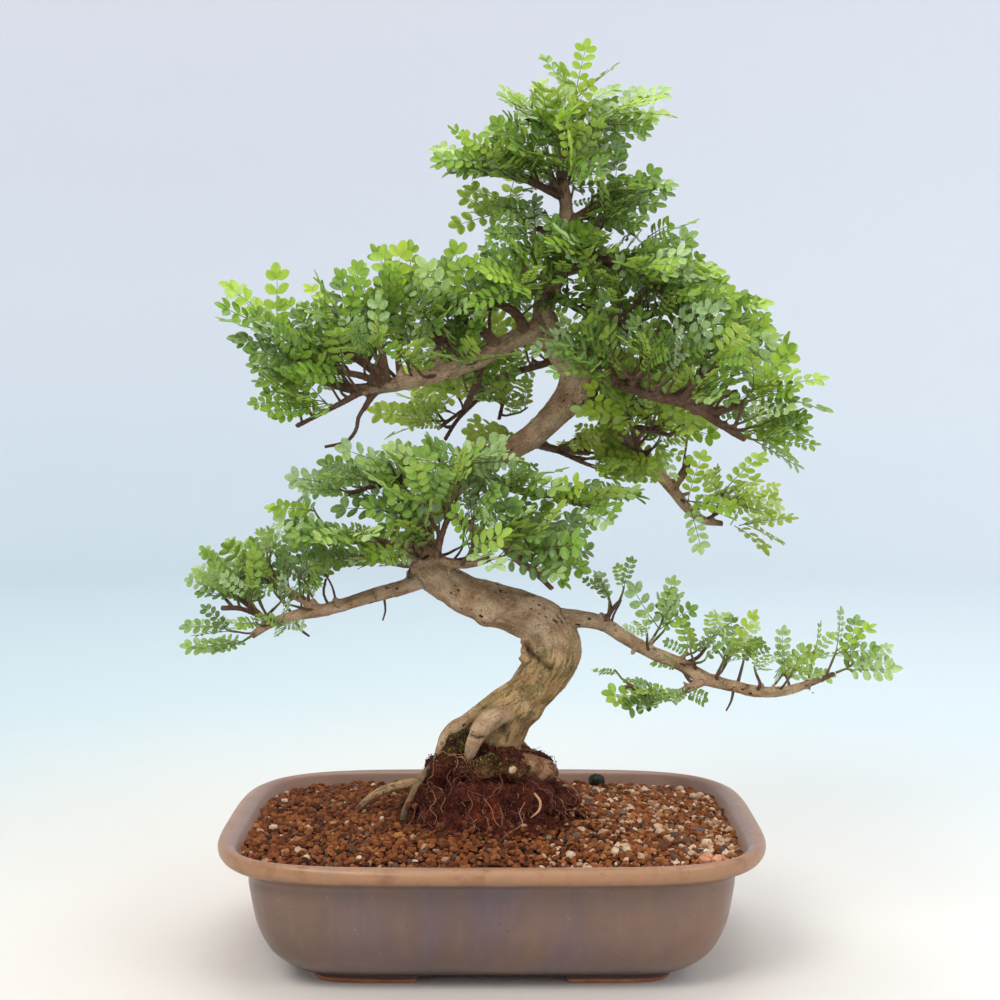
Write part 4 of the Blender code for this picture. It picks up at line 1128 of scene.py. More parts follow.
def build_grains(material, surface):
    """Loose grains over the whole bed, coarse ones among the small, and some on the foot of the roots."""
    draw = random.Random("grains")
    small, coarse = round_stone(1), round_stone(2)
    layers = {"soil_grains": Growth("shade", "kind"), "soil_coarse_grains": Growth("shade", "kind")}
    across = int(2 * SOIL_HALF_WIDTH / GRAIN_SPACING) + 2
    down = int(2 * SOIL_HALF_DEPTH / (GRAIN_SPACING * 0.87)) + 2
    for row in range(down):
        for column in range(across):
            x = -SOIL_HALF_WIDTH + (column + 0.5 * (row % 2) + draw.uniform(-0.32, 0.32)) * GRAIN_SPACING
            y = -SOIL_HALF_DEPTH + (row + draw.uniform(-0.32, 0.32)) * GRAIN_SPACING * 0.87
            big = draw.random() < 0.10
            size = draw.uniform(0.0064, 0.0086) if big else draw.triangular(0.0032, 0.0070, 0.0054)
            lift = draw.uniform(-0.0010, 0.0008) + (0.0006 if big else 0)
            shade = draw.gauss(0.47, 0.2) + 0.16 * min(max((x - 0.03) / 0.08, 0), 1)
            kind = grain_kind(draw, x, y)
            if rim_gauge(x, y) > 1.0 or ball_gauge(x, y) < 0.97:
                continue
            # Painted shade: grains darker towards the root ball's foot, where it meets the soil
            near = ball_gauge(x, y)
            shade -= 0.34 * min(max(1.45 - near, 0) / 0.45, 1)
            name = "soil_coarse_grains" if big else "soil_grains"
            points, faces = grain_body(draw, coarse if big else small, size)
            place = np.array([x, y, soil_height(x, y) + lift])
            layers[name].add(points + place, faces, shade=shade, kind=kind)
    for number in range(MAT_GRAINS):
        angle = draw.uniform(0, math.tau)
        height = SOIL_CREST + 0.017 * draw.random() ** 1.6
        outside = ball_surface(angle, height, [(1.5, 0), (1.5, 200)])
        place, normal = surface.at(outside)
        if place.z < SOIL_CREST - 0.002 or draw.random() < 0.5 * (place.x > 0.01):
            continue
        points, faces = grain_body(draw, small, draw.triangular(0.0026, 0.0064, 0.0046))
        place += normal * draw.uniform(0.0002, 0.0014)
        layers["soil_grains"].add(points + np.array(place), faces, shade=draw.gauss(0.36, 0.16),
                                  kind=grain_kind(draw, place.x, place.y))
    for name, layer in layers.items():
        add_piece(name, layer.mesh(name, 32), material, "earth", "soil")


# Wood

def in_metres(points):
    return [tuple(value * MM for value in point) for point in points]


def along(points, share):
    """The place, direction and radius at a share of a route's length."""
    spots = [Vector(point[:3]) for point in points]
    lengths = [(b - a).length for a, b in zip(spots, spots[1:])]
    left = share * sum(lengths)
    for number, length in enumerate(lengths):
        if left <= length or number == len(lengths) - 1:
            part = min(left / length, 1)
            radius = points[number][3] + (points[number + 1][3] - points[number][3]) * part
            return spots[number].lerp(spots[number + 1], part), spots[number + 1] - spots[number], radius
        left -= length


def shoot_lines():
    """Name, start, direction and stub of each leafy shoot: first the ends, then the sides."""
    routes = {name: in_metres(points) for name, points in BRANCHES.items() if name not in BARE_ENDS}
    routes["leader"] = in_metres(TRUNK)
    lines = []
    for name, points in routes.items():
        place, tangent, radius = along(points, 1)
        lines.append((name, place, tangent.normalized(), None))
    for name, share, side in SIDE_SHOOTS:
        place, tangent, radius = along(in_metres(BRANCHES[name]), share)
        tangent.normalize()
        sideways = UP.cross(tangent).normalized()
        direction = (0.45 * tangent + 0.9 * side * sideways + (0.35 if side else 0.9) * UP).normalized()
        end = place + direction * (radius + SIDE_STUB)
        lines.append(("%s_%02d" % (name, round(share * 100)), end, direction, place))
    return lines


def wood_routes():
    """Every woody route, smoothed: name, and rows of x, y, z and radius."""
    routes = {"trunk": TRUNK, "knuckle": KNUCKLE}
    routes.update(("root_%d" % number, points) for number, points in enumerate(ROOTS))
    routes.update(BRANCHES)
    routes.update(FINE_BRANCHES)
    return {name: smooth_route(in_metres(points), ROUTE_STEP) for name, points in routes.items()}


def pruned_stubs(routes):
    """Short cut-off side twigs, as old wiring and pruning leave them, along every branch."""
    draw = random.Random("stubs")
    stubs = []
    for name in BRANCHES:
        route = routes[name]
        step = draw.uniform(5, 9)
        while step < len(route) - 4:
            here = route[int(step)]
            tangent = Vector(route[int(step) + 1][:3]) - Vector(route[int(step)][:3])
            axis = tangent.normalized()
            side = Matrix.Rotation(draw.uniform(0, math.tau), 3, axis) @ tangent.orthogonal()
            side = side.normalized() + 0.35 * axis + Vector((0, 0, draw.uniform(-0.2, 0.4)))
            side.normalize()
            thick = max(0.0011, here[3] * draw.uniform(0.34, 0.52))
            reach = here[3] + draw.uniform(0.0025, 0.0075)
            start = Vector(here[:3])
            stubs.append([(*start, thick * 1.25), (*(start + side * reach * 0.7), thick),
                          (*(start + side * reach), thick * 1.06)])
            step += draw.uniform(7, 13)
    return stubs


def grow_wood(routes, stubs, lines):
    """All wood joined into one body: the routes, the stubs and what holds the side shoots."""
    body = Growth()
    for route in routes.values():
        sides = 20 if route[0][3] > 0.010 else 12
        body.add(*tube_body(route[:, :3], np.maximum(route[:, 3], 0.0019) + 0.0002, sides))
    for stub in stubs:
        row = np.array(stub)
        body.add(*tube_body(row[:, :3], row[:, 3], 8))
    for name, end, direction, place in lines:
        if place is not None:
            body.add(*tube_body([place, place.lerp(end, 0.5), end], STUB_RADIUS, 8))
    return remeshed("wood", body, WOOD_VOXEL, 4)


def remeshed(name, body, voxel, rounds):
    """The collected bodies as one skin, its joints rounded a little."""
    mesh = make_mesh(name, np.vstack(body.points).tolist(), body.faces)
    holder = add_object(name, mesh)
    remesh = holder.modifiers.new("voxels", "REMESH")
    remesh.mode = "VOXEL"
    remesh.voxel_size = voxel
    soften = holder.modifiers.new("soften", "SMOOTH")
    soften.factor = 0.5
    soften.iterations = rounds
    bake_modifiers(holder)
    grown = holder.data
    bpy.data.objects.remove(holder)
    grown.shade_smooth()
    return grown


def route_frames(routes):
    """Samples of all routes: place, radius, distance run, and two directions across."""
    rows = []
    for number, route in enumerate(routes.values()):
        tangents = np.gradient(route[:, :3], axis=0)
        tangents /= np.linalg.norm(tangents, axis=1)[:, None]
        across = np.array(Vector(tangents[0]).orthogonal().normalized())
        run = 0.11 * number
        for index, (row, tangent) in enumerate(zip(route, tangents)):
            across = across - tangent * np.dot(across, tangent)
            across /= np.linalg.norm(across)
            run += 0 if index == 0 else np.linalg.norm(row[:3] - route[index - 1][:3])
            rows.append((*row, run, *across, *np.cross(tangent, across)))
    return np.array(rows)


def follow_routes(points, routes):
    """For each point the coordinates along and around its branch, and the branch's radius."""
    samples = route_frames(routes)
    finder = finder_of(samples[:, :3])
    nearest = []
    for point in points:
        found = finder.find_n(point, 14)
        nearest.append(min(found, key=lambda hit: hit[2] - samples[hit[1]][3])[1])
    rows = samples[nearest]
    offset = points - rows[:, :3]
    grain = np.column_stack([(offset * rows[:, 5:8]).sum(axis=1), (offset * rows[:, 8:11]).sum(axis=1),
                             rows[:, 4]])
    return grain, rows[:, 3]


def distance_to_line(points, line):
    """Distance of each point from a line of straight stretches."""
    nearest = np.full(len(points), 1e9)
    for start, end in zip(np.array(line), np.array(line)[1:]):
        run = end - start
        share = np.clip((points - start) @ run / (run @ run), 0, 1)
        nearest = np.minimum(nearest, np.linalg.norm(points - start - share[:, None] * run, axis=1))
    return nearest


def build_wood(routes, lines, material):
    stubs = pruned_stubs(routes) + [in_metres(stub) for stub in CUT_STUBS]
    mesh = grow_wood(routes, stubs + [in_metres(stub) for stub in OLD_STUBS], lines)
    points = points_of(mesh)
    ends = finder_of([stub[-1][:3] for stub in stubs])
    from_cut = np.array([ends.find(point)[2] for point in points])
    grain, radius = follow_routes(points, routes)
    normals = normals_of(mesh)
    height = points[:, 2]
    age = np.clip((OLD_BARK_TOP - height) / OLD_BARK_FADE, 0, 1)
    age = age * age * (3 - 2 * age) * np.clip((radius - 0.0045) / 0.004, 0.25, 1)
    for root, root_age in ROOT_AGES.items():
        away = distance_to_line(points, [point[:3] for point in in_metres(ROOTS[root][2:])])
        share = np.clip((0.0098 - away) / 0.0015, 0, 1)
        age = age + (root_age - age) * share
    squashed = grain * np.array([1, 1, 0.28])
    lumps = noise_at(grain * np.array([1, 1, 0.5]), 62, 1)
    ridges = noise_at(squashed, 210, 2)
    warts = np.maximum(noise_at(grain, 190, 3) - 0.28, 0)
    knobs = noise_at(grain * np.array([1, 1, 0.8]), 105, 4)
    push = np.minimum(radius, 0.018) * (0.12 * lumps + 0.06 * knobs) + age * 0.0013 * ridges
    push += (1 - age) * np.minimum(radius, 0.006) * (0.055 * ridges + 0.22 * warts)
    # How dark the bark is painted along the folds: painted shade
    dark = np.zeros(len(points))
    for line, width, depth in CREASES:
        groove = np.clip(1 - distance_to_line(points, in_metres(line)) / (width * MM), 0, 1) ** 2
        push -= depth * MM * groove
        dark = np.maximum(dark, groove)
    for place, size, rise in BULGES:
        hill = np.clip(1 - np.linalg.norm(points - np.array(place) * MM, axis=1) / (size * MM), 0, 1)
        push += rise * MM * hill * hill * (3 - 2 * hill)
    set_points(mesh, points + normals * push[:, None])
    add_vectors(mesh, "grain", grain)
    add_numbers(mesh, "crease", dark)
    add_numbers(mesh, "cut", np.clip((0.0024 - from_cut) / 0.0008, 0, 1))
    add_numbers(mesh, "age", age)
    aloft = np.clip((height - YOUNG_FROM) / 0.05, 0, 1)
    fresh = (YOUNG_RADIUS + 0.0020 * aloft - radius) / (0.0012 + 0.0008 * aloft)
    add_numbers(mesh, "fresh", np.clip(fresh, 0, 0.85))
    return add_piece("wood", mesh, material, "bark", "trunk")


# Root ball

def ball_surface(angle, height, profile):
    share = np.interp(height / MM, [row[1] for row in profile], [row[0] for row in profile])
    reach = ball_radius(angle, share)
    dx, dy = math.cos(angle) * BALL_HALF_WIDTH, math.sin(angle) * BALL_HALF_DEPTH
    length = math.hypot(dx, dy)
    return Vector((BALL_CENTRE.x + dx / length * reach, BALL_CENTRE.y + dy / length * reach, height))


def ellipsoid_body(centre, radii):
    points, faces = round_stone(4)
    return points * np.array(radii) * MM + np.array(centre) * MM, faces


def build_root_mat(material):
    """The matted root ball: a mound with humps where thick roots hide under the fibres."""
    body = Growth()
    steps = 72
    points = [ball_surface(math.tau * step / steps, height * MM, BALL_PROFILE)[:]
              for share, height in BALL_PROFILE for step in range(steps)]
    ends = [(BALL_CENTRE.x, BALL_CENTRE.y, height) for height in (BALL_FOOT, BALL_TOP)]
    body.add(np.array([ends[0], *points, ends[1]]), ring_faces(steps, len(BALL_PROFILE)))
    for centre, radii in MAT_HUMPS:
        body.add(*ellipsoid_body(centre, radii))
    mesh = remeshed("root_mat", body, MAT_VOXEL, 16)
    points = points_of(mesh)
    normals = normals_of(mesh)
    tangle = np.array([noise.fractal(Vector((x * 95, y * 95, z * 55)), 0.6, 2.1, 4) for x, y, z in points])
    fine = noise_at(points * np.array([1, 1, 0.5]), 430)
    knob = nearness(points, KNOB)
    lumps = noise_at(points, 48, 7)
    rough = 1 - 0.75 * knob
    push = rough * (0.0030 * lumps + 0.0042 * tangle + 0.0016 * fine)
    set_points(mesh, points + normals * push[:, None])
    # How far the surface is pushed in, which the material turns into painted shade
    add_numbers(mesh, "depth", np.clip(-push / 0.0030, 0, 1))
    add_numbers(mesh, "knob", knob)
    add_numbers(mesh, "ledge", nearness(points, LEDGE))
    add_numbers(mesh, "rust", nearness(points, RUST))
    return add_piece("root_mat", mesh, material, "bark", "trunk")


def nearness(points, body):
    """1 in the middle of an ellipsoid, 0 at its surface and outside it."""
    centre, radii = body
    away = np.linalg.norm((points - np.array(centre) * MM) / (np.array(radii) * MM), axis=1)
    return np.clip(2.2 * (1 - away), 0, 1)


class Surface:
    """Finds the nearest place on a mesh, and the way out of it."""

    def __init__(self, mesh):
        self.points = points_of(mesh)
        self.normals = normals_of(mesh)
        self.finder = finder_of(self.points)

    def at(self, place):
        index = self.finder.find(place)[1]
        return Vector(self.points[index]), Vector(self.normals[index])


def fibre_route(draw, surface, start, steps, droop):
    """A thin root's course: it wanders down over the mat and ends on the soil."""
    place, normal = surface.at(start)
    heading = Vector((draw.gauss(0, 1), draw.gauss(0, 1), draw.gauss(0, 0.8) - droop))
    route = []
    lift = draw.uniform(0.0002, 0.0016)
    for step in range(steps):
        heading += Vector((draw.gauss(0, 0.55), draw.gauss(0, 0.55), draw.gauss(0, 0.45) - 0.35 * droop))
        heading = (heading - heading.dot(normal) * normal).normalized()
        place = place + heading * FIBRE_STEP * draw.uniform(0.7, 1.3)
        ground = soil_height(place.x, place.y) + 0.0020
        if place.z < ground + 0.001:
            place.z = ground
            normal = UP
            route.append(place[:])
            if ball_gauge(place.x, place.y) > 1.35:
                break
            continue
        place, normal = surface.at(place)
        lift = min(max(lift + draw.uniform(-0.0007, 0.0007), 0.0001), 0.0026)
        route.append((place + normal * lift)[:])
    return route


def build_fibres(mat, material):
    """Fine roots all over the mat: a dark fuzz, red-brown threads, and a few pale ones."""
    draw = random.Random("fibres")
    surface = Surface(mat)
    growth = Growth("tone")
    open_spots = [point for point, normal in zip(surface.points, surface.normals)
                  if point[2] > 0.107 and normal[2] > -0.5 and (point[1] < 0.01 or draw.random() < 0.5)]
    for number in range(FIBRES):
        start = Vector(draw.choice(open_spots))
        if nearness(np.array([start]), KNOB)[0] > 0.45 and draw.random() < 0.8:
            continue
        roll = draw.random()
        kind = "pale" if roll < PALE_SHARE and start.y < 0 else "red" if roll < RED_SHARE else "dark"
        thickness, tones, steps, droop = FIBRE_KINDS[kind]
        radius, tone = draw.uniform(*thickness), draw.uniform(*tones)
        route = fibre_route(draw, surface, start, draw.randint(steps - 3, steps + 3), droop)
        if len(route) < 3:
            continue
        smooth = smooth_route(route, 0.0030)
        growth.add(*tube_body(smooth, np.linspace(radius, radius * 0.45, len(smooth)), 3), tone=tone)
    for route, radius, tone in THICK_FIBRES:
        smooth = smooth_route(in_metres(route), 0.0025)
        taper = np.interp(np.linspace(0, 1, len(smooth)), (0, 0.2, 0.7, 1), (0.8, 1, 0.9, 0.5))
        radii = radius * MM * taper
        growth.add(*tube_body(smooth, radii, 8), tone=tone)
    return add_piece("root_fibres", growth.mesh("root_fibres"), material, "bark", "trunk")


def build_moss(mat, material):
    """Tufts of moss in the damp hollows between the roots."""
    draw = random.Random("moss")
    surface = Surface(mat)
    growth = Growth("tone")
    for centre, reach, count in MOSS_BEDS:
        for number in range(count):
            spread = Vector([draw.gauss(0, 0.42) for axis in range(3)]) * reach * MM
            place, normal = surface.at(Vector(centre) * MM + spread)
            lean = (normal + 0.6 * UP + Vector([draw.gauss(0, 0.5) for axis in range(3)])).normalized()
            height = draw.uniform(0.0008, 0.0022)
            tip = place + lean * height
            growth.add(*tube_body([place - lean * 0.001, place + lean * height * 0.5, tip],
                                  [0.0004, 0.0006, 0.0003], 4), tone=draw.uniform(0, 1))
    add_piece("moss", growth.mesh("moss"), material, "foliage")


CHARCOAL_SPOT = (0.086, 0.118)
NUT_SPOT = (0.154, -0.105)
SHELL_SPOT = (0.0150, -0.0478, 0.1438)


def build_bits():
    """What lies on the soil and the roots: a lump of charcoal, a nut and a snail's shell."""
    points, faces = round_stone(3)
    draw = random.Random("bits")
    lump = Growth()
    rough = 1 + 0.22 * noise_at(points, 1.7, 5) + 0.06 * noise_at(points, 6, 6)
    place = np.array([*CHARCOAL_SPOT, soil_height(*CHARCOAL_SPOT) + 0.0045])
    lump.add(points * rough[:, None] * np.array([0.0068, 0.006, 0.0062]) + place, faces)
    add_piece("charcoal_lump", lump.mesh("charcoal_lump"),
              chip_material("charcoal", (16, 17, 14), (32, 33, 26), (72, 72, 56), 420), "earth")
    nut = Growth()
    for side, size in ((-0.0042, 0.0050), (0.0040, 0.0046)):
        ribs = 1 + 0.05 * np.sin(9 * np.arctan2(points[:, 2], points[:, 1]))
        ribs = ribs + 0.08 * noise_at(points, 2.4, 8 + side)
        body = points * ribs[:, None] * np.array([1.15, 0.9, 0.85]) * size
        turn = np.array(Matrix.Rotation(0.25, 3, "Z") @ Matrix.Rotation(-0.15, 3, "Y"))
        spot = np.array([NUT_SPOT[0] + side, NUT_SPOT[1] - side * 0.25, soil_height(*NUT_SPOT) + 0.0040])
        nut.add(body @ turn.T + spot, faces)
    add_piece("nut_shell", nut.mesh("nut_shell"),
              chip_material("nut", (150, 84, 54), (204, 140, 104), (232, 184, 150), 260), "earth")
    shell = Growth()
    route, radii = [], []
    for step in range(34):
        share = step / 33
        angle = 2.4 * math.tau * share
        reach = 0.0021 * (1 - share) ** 1.1 + 0.0001
        x, y, z = SHELL_SPOT
        route.append((x + reach * math.cos(angle), y - 0.0036 * share, z + reach * math.sin(angle)))
        radii.append(0.0014 * (1 - 0.86 * share))
    shell.add(*tube_body(route, radii, 10))
    add_piece("snail_shell", shell.mesh("snail_shell"),
              chip_material("snail", (140, 100, 74), (200, 168, 138), (228, 206, 180), 420), "earth")


# Leaves

# A leaflet's outline: share of its length, and of its half-width
LEAFLET_OUTLINE = [(0.10, 0.48), (0.36, 0.95), (0.68, 0.96), (0.92, 0.55)]
LEAF_VARIANTS = 16
LEAF_LENGTH = 0.047
LEAF_BARE = 0.0085
RACHIS_RADIUS = 0.00042
# Where a shoot's leaves sit, as shares of its length from its foot
LEAF_SHARES = (1.0, 0.8, 0.62, 0.44, 0.28, 0.9, 0.7, 0.5)


def leaflet_sheets(length, half_width, crease, curl):
    """Upper and lower sheet of a leaflet along +X, base at the origin: points, faces, rib, below."""
    points, faces, rib_marks, below_marks = [], [], [], []
    for below in (0, 1):
        sink = -0.00022 if below else 0.0

        def add(share, width, side):
            lift = crease * abs(width) * half_width - curl * length * share ** 2
            points.append((share * length, side * width * half_width, lift + (sink if width == 0 else 0)))
            rib_marks.append(1.0 if width == 0 else 0.0)
            below_marks.append(below)
            return len(points) - 1

        base, tip = add(0, 0, 0), add(1, 0, 0)
        for side in (-1, 1):
            half = [base] + [add(share, width, side) for share, width in LEAFLET_OUTLINE] + [tip]
            flip = (side > 0) == (not below)
            faces.append(half[::-1] if flip else half)
    return np.array(points), faces, np.array(rib_marks), np.array(below_marks, dtype=float)


def leaf_variant(number):
    """One pinnate leaf along +X, its stalk at the origin and its upper side up, in metres."""
    draw = random.Random("leaf %d" % number)
    growth = Growth("rib", "below", "stalk", "shift")
    pairs = draw.choice((4, 4, 4, 5, 5, 5, 6))
    arch, bend = draw.uniform(0.001, 0.012), draw.uniform(-0.005, 0.005)
    first = LEAF_BARE * draw.uniform(0.85, 1.1)
    last = LEAF_LENGTH - 0.0105
    spacing = min((last - first) / (pairs - 1), 0.0084)
    spine = [(last * step / 4, 0, 0) for step in range(5)]
    radii = np.linspace(RACHIS_RADIUS * 1.35, RACHIS_RADIUS * 0.7, 5)
    points, faces = tube_body(spine, radii, 3)
    growth.add(points, faces, rib=0, below=0, stalk=1, shift=0)
    places = [(first + (last - 0.001 - first) * pair / max(pairs - 1, 1), side)
              for pair in range(pairs) for side in (-1, 1)]
    for x, side in places + [(last, 0)]:
        share = x / LEAF_LENGTH
        scale = 0.82 + 0.5 * share * (1.35 - share) if side else 1.12
        length = 1.16 * spacing * scale * draw.uniform(0.92, 1.08)
        width = 0.37 * spacing * scale * draw.uniform(0.92, 1.08)
        points, faces, ribs, belows = leaflet_sheets(length, width, draw.uniform(0.10, 0.30),
                                                     draw.uniform(-0.02, 0.10))
        forward = math.radians(draw.uniform(52, 66) * side if side else draw.uniform(-6, 6))
        turn = (Matrix.Rotation(forward, 3, "Z")
                @ Matrix.Rotation(math.radians(draw.uniform(-14, 4)), 3, "Y")
                @ Matrix.Rotation(math.radians(draw.uniform(-13, 13)), 3, "X"))
        x += draw.uniform(-0.0005, 0.0005) + (0.0 if side else -0.0002)
        offset = np.array([x, side * 0.0004, 0.0001])
        growth.add(points @ np.array(turn).T + offset, faces, rib=ribs, below=belows, stalk=0,
                   shift=draw.uniform(-0.09, 0.09))
    points = np.vstack(growth.points)
    share = np.clip(points[:, 0] / LEAF_LENGTH, 0, 1.1)
    points[:, 2] -= arch * share ** 2
    points[:, 1] += bend * share ** 2
    numbers = {channel: np.concatenate(kept) for channel, kept in growth.numbers.items()}
    return points, growth.faces, numbers


def shoot_stem(start, direction, length):
    """Three points along a shoot that bends up towards the light."""
    middle = start + direction * length * 0.5
    bent = (direction + 0.35 * UP).normalized()
    return [start, middle, middle + bent * length * 0.5]


def leaf_placements(name, stem, lowest=LOWEST_SLOPE):
    """Where the leaves of a shoot sit: the end leaf, then those in a spiral below it."""
    draw = random.Random(name)
    tip_direction = (stem[2] - stem[1]).normalized()
    turn = draw.uniform(0, math.tau)
    side = tip_direction.orthogonal().normalized()
    placements = []
    for number, share in enumerate(LEAF_SHARES):
        base = stem[1].lerp(stem[2], 2 * share - 1) if share > 0.5 else stem[0].lerp(stem[1], 2 * share)
        base -= tip_direction * (LEAF_SINK if number == 0 else 0)
        spin = Matrix.Rotation(turn + GOLDEN_ANGLE * number, 3, tip_direction)
        radial = spin @ side
        opening = 0 if number == 0 else math.radians(draw.uniform(48, 68))
        direction = tip_direction * math.cos(opening) + radial * math.sin(opening)
        direction.z = max(direction.z * 0.75 + draw.uniform(-0.05, 0.15), lowest)
        direction.normalize()
        facing = UP - 0.5 * Vector((direction.x, direction.y, 0)).normalized()
        normal = (facing - facing.dot(direction) * direction).normalized()
        normal = Matrix.Rotation(math.radians(draw.uniform(-18, 18)), 3, direction) @ normal
        size = draw.uniform(0.86, 1.04)
        frame = Matrix((direction, normal.cross(direction), normal)).transposed().to_4x4()
        placements.append(Matrix.Translation(base) @ frame @ Matrix.Scale(size, 4))
    return placements


def turned_to_light(matrix, draw, centre, pull, size, lift):
    """The leaf swung out of its pad, and rolled so that its face looks up and out of the tree."""
    direction = Vector(matrix.col[0][:3]).normalized()
    away = matrix.translation - centre
    away = Vector((away.x, 0.6 * away.y, (0.7 if away.z > 0 else 0.45) * away.z)).normalized()
    direction = direction + pull * away
    direction.z *= lift
    direction.normalize()
    outward = Vector((0, 1 if matrix.translation.y > 0.035 else -1, 0))
    wish = 0.50 * UP + 0.72 * outward + Vector([draw.gauss(0, 0.38) for axis in range(3)])
    normal = Vector(matrix.col[2][:3]).normalized() * 0.25 + wish
    normal = (normal - normal.dot(direction) * direction).normalized()
    frame = Matrix((direction, normal.cross(direction), normal)).transposed().to_4x4()
    return Matrix.Translation(matrix.translation) @ frame @ Matrix.Scale(size, 4)


# Where twigs with more shoots grow: share of the branch where they start, millimetres between
# them, and their shortest and longest reach in millimetres
LEAFY = {"leader": (0.84, 8, 5, 13), "crown_peak_left": (0.1, 12, 3, 7),
         "crown_peak_right": (0.2, 8, 4, 9), "back_left_drop": (0.2, 9, 5, 14),
         "back_left_fall": (0.2, 9, 5, 12), "low_left": (0.50, 6, 12, 32),
         "low_left_up": (0.1, 6, 12, 26), "low_left_tip": (0.1, 7, 6, 14),
         "low_right": (0.32, 10, 8, 26), "low_right_under": (0.2, 8, 4, 10),
         "mid_left": (0.26, 8, 18, 34), "mid_left_up": (0.1, 8, 12, 24),
         "mid_left_back": (0.2, 9, 10, 24), "mid_left_front": (0.2, 8, 10, 24),
         "mid_left_hook": (0.5, 16, 6, 12), "mid_left_high": (0.3, 8, 6, 14),
         "mid_left_top": (0.3, 10, 4, 9), "mid_left_out": (0.2, 9, 10, 24),
         "mid_left_crest": (0.35, 7, 6, 14), "mid_left_droop": (0.1, 6, 8, 18),
         "mid_right_low": (0.74, 12, 8, 20), "mid_right_knob": (0.2, 11, 8, 20),
         "mid_right_front": (0.18, 10, 10, 26), "mid_right_stub": (0.2, 16, 8, 16),
         "mid_right_side": (0.1, 12, 8, 16), "mid_right_top": (0.3, 10, 8, 18),
         "mid_right_fan": (0.2, 14, 6, 14), "mid_right_under": (0.1, 5, 6, 18),
         "mid_right_inner": (0.1, 9, 8, 18), "mid_right_hang": (0.1, 8, 8, 16),
         "up_right": (0.12, 9, 5, 11), "up_front_right": (0.15, 9, 6, 14), "up_front": (0.15, 9, 8, 20),
         "up_right_fan": (0.1, 9, 4, 11), "up_right_out": (0.1, 10, 4, 9),
         "up_right_rear": (0.1, 11, 4, 11), "up_low_front": (0.1, 8, 8, 20),
         "mid_right_veil": (0.05, 5, 4, 14), "mid_right_cover": (0.2, 6, 6, 16),
         "mid_right_over": (0.2, 6, 6, 14), "mid_right_drape": (0.3, 7, 6, 12),
         "back_right": (0.25, 9, 10, 26), "back_left": (0.2, 11, 6, 14), "back_low": (0.1, 8, 6, 16),
         "back_right_low": (0.2, 9, 8, 20), "back_left_low": (0.05, 8, 6, 18),
         "back_low_hang": (0.1, 5, 5, 14), "crown_right": (0.1, 12, 4, 9),
         "crown_left": (0.1, 9, 10, 26), "crown_back": (0.2, 12, 10, 22),
         "crown_top_right": (0.3, 14, 6, 12), "crown_front": (0.2, 11, 8, 20),
         "crown_low_left": (0.5, 12, 5, 11), "crown_out_left": (0.1, 9, 6, 14),
         "crown_neck_right": (0.1, 8, 6, 14), "crown_neck_left": (0.1, 14, 4, 8),
         "low_front": (0.1, 7, 12, 26), "low_front_left": (0.1, 8, 10, 26),
         "low_front_right": (0.1, 9, 8, 20), "low_up_left": (0.3, 12, 8, 16),
         "low_right_up": (0.2, 12, 8, 18), "low_up": (0.3, 14, 8, 14), "low_up_out": (0.1, 10, 8, 18),
         "low_fist": (0.1, 10, 4, 10), "low_fan_left": (0.1, 9, 6, 18), "low_front_mid": (0.2, 7, 8, 20),
         "low_front_top": (0.3, 8, 6, 16), "low_up_reach": (0.1, 12, 5, 10),
         "low_right_under_tip": (0.1, 6, 4, 9), "low_left_outer": (0.15, 5, 5, 14),
         "low_right_first": (0.3, 6, 4, 10)}

# Shoots whose leaves lie flat instead of standing up
FLAT_SHOOTS = ("up_right", "up_front_right", "crown_out_left", "crown_right", "crown_top_right",
               "mid_left_high", "mid_left_top", "leader_twig", "crown_peak", "low_right_under", "low_up",
               "low_right_up", "low_front_left", "low_fan", "back_low")

# Leaves painted light, as if the light shone through them from behind: how light they are, by their
# branch's name
GLOWING = {"mid_right_veil": 0.96, "mid_right_hang": 0.96, "mid_right_under": 0.94,
           "mid_right_low": 0.70, "back_left": 0.84, "back_right_low": 0.84, "back_low": 0.96,
           "mid_left_droop": 0.40}

GROUPS = {
    "foliage_crown": ("crown", "leader"),
    "foliage_upper": ("up",),
    "foliage_mid_left": ("mid_left",),
    "foliage_mid_right": ("mid_right",),
    "foliage_back": ("back",),
    "foliage_low_middle": ("low_front", "low_up", "low_right_up", "low_fist", "low_fan"),
    "foliage_low_left": ("low_left",),
    "foliage_low_right": ("low_right",),
}

# How much lighter each pad's leaves are than the rest: partly the pad's own colour, partly painted light
# and shade
SHADES = {"foliage_crown": 0.11, "foliage_mid_left": 0.06, "foliage_upper": 0.05,
          "foliage_mid_right": 0.06, "foliage_low_middle": 0.09, "foliage_low_left": 0.0,
          "foliage_low_right": -0.03}

# Leaf sizes on the extra twigs, against those of the end shoots
TWIG_LEAF_SIZES = (0.66, 0.74, 0.82, 0.90, 0.98, 1.06)
# Leaf sizes, against those of the other pads
LEAF_SIZES = {"foliage_low_left": 0.80, "foliage_low_right": 0.66, "foliage_low_middle": 1.12,
              "foliage_mid_left": 1.08, "foliage_crown": 1.06, "foliage_upper": 0.95,
              "foliage_mid_right": 0.95}
# Open pads, where each leaf adds more painted shade to the leaves below it
OPEN_PADS = {"foliage_mid_left": 2.2, "foliage_low_left": 1.4}
# Pads whose twigs have fewer leaves
AIRY = ("foliage_low_middle", "foliage_mid_right", "foliage_upper", "foliage_low_right")


def glow_of(name):
    return max([light for start, light in GLOWING.items() if name.startswith(start)], default=0.0)


def group_of(name):
    fitting = [(len(start), group) for group, starts in GROUPS.items() for start in starts
               if name.startswith(start)]
    return max(fitting)[1]


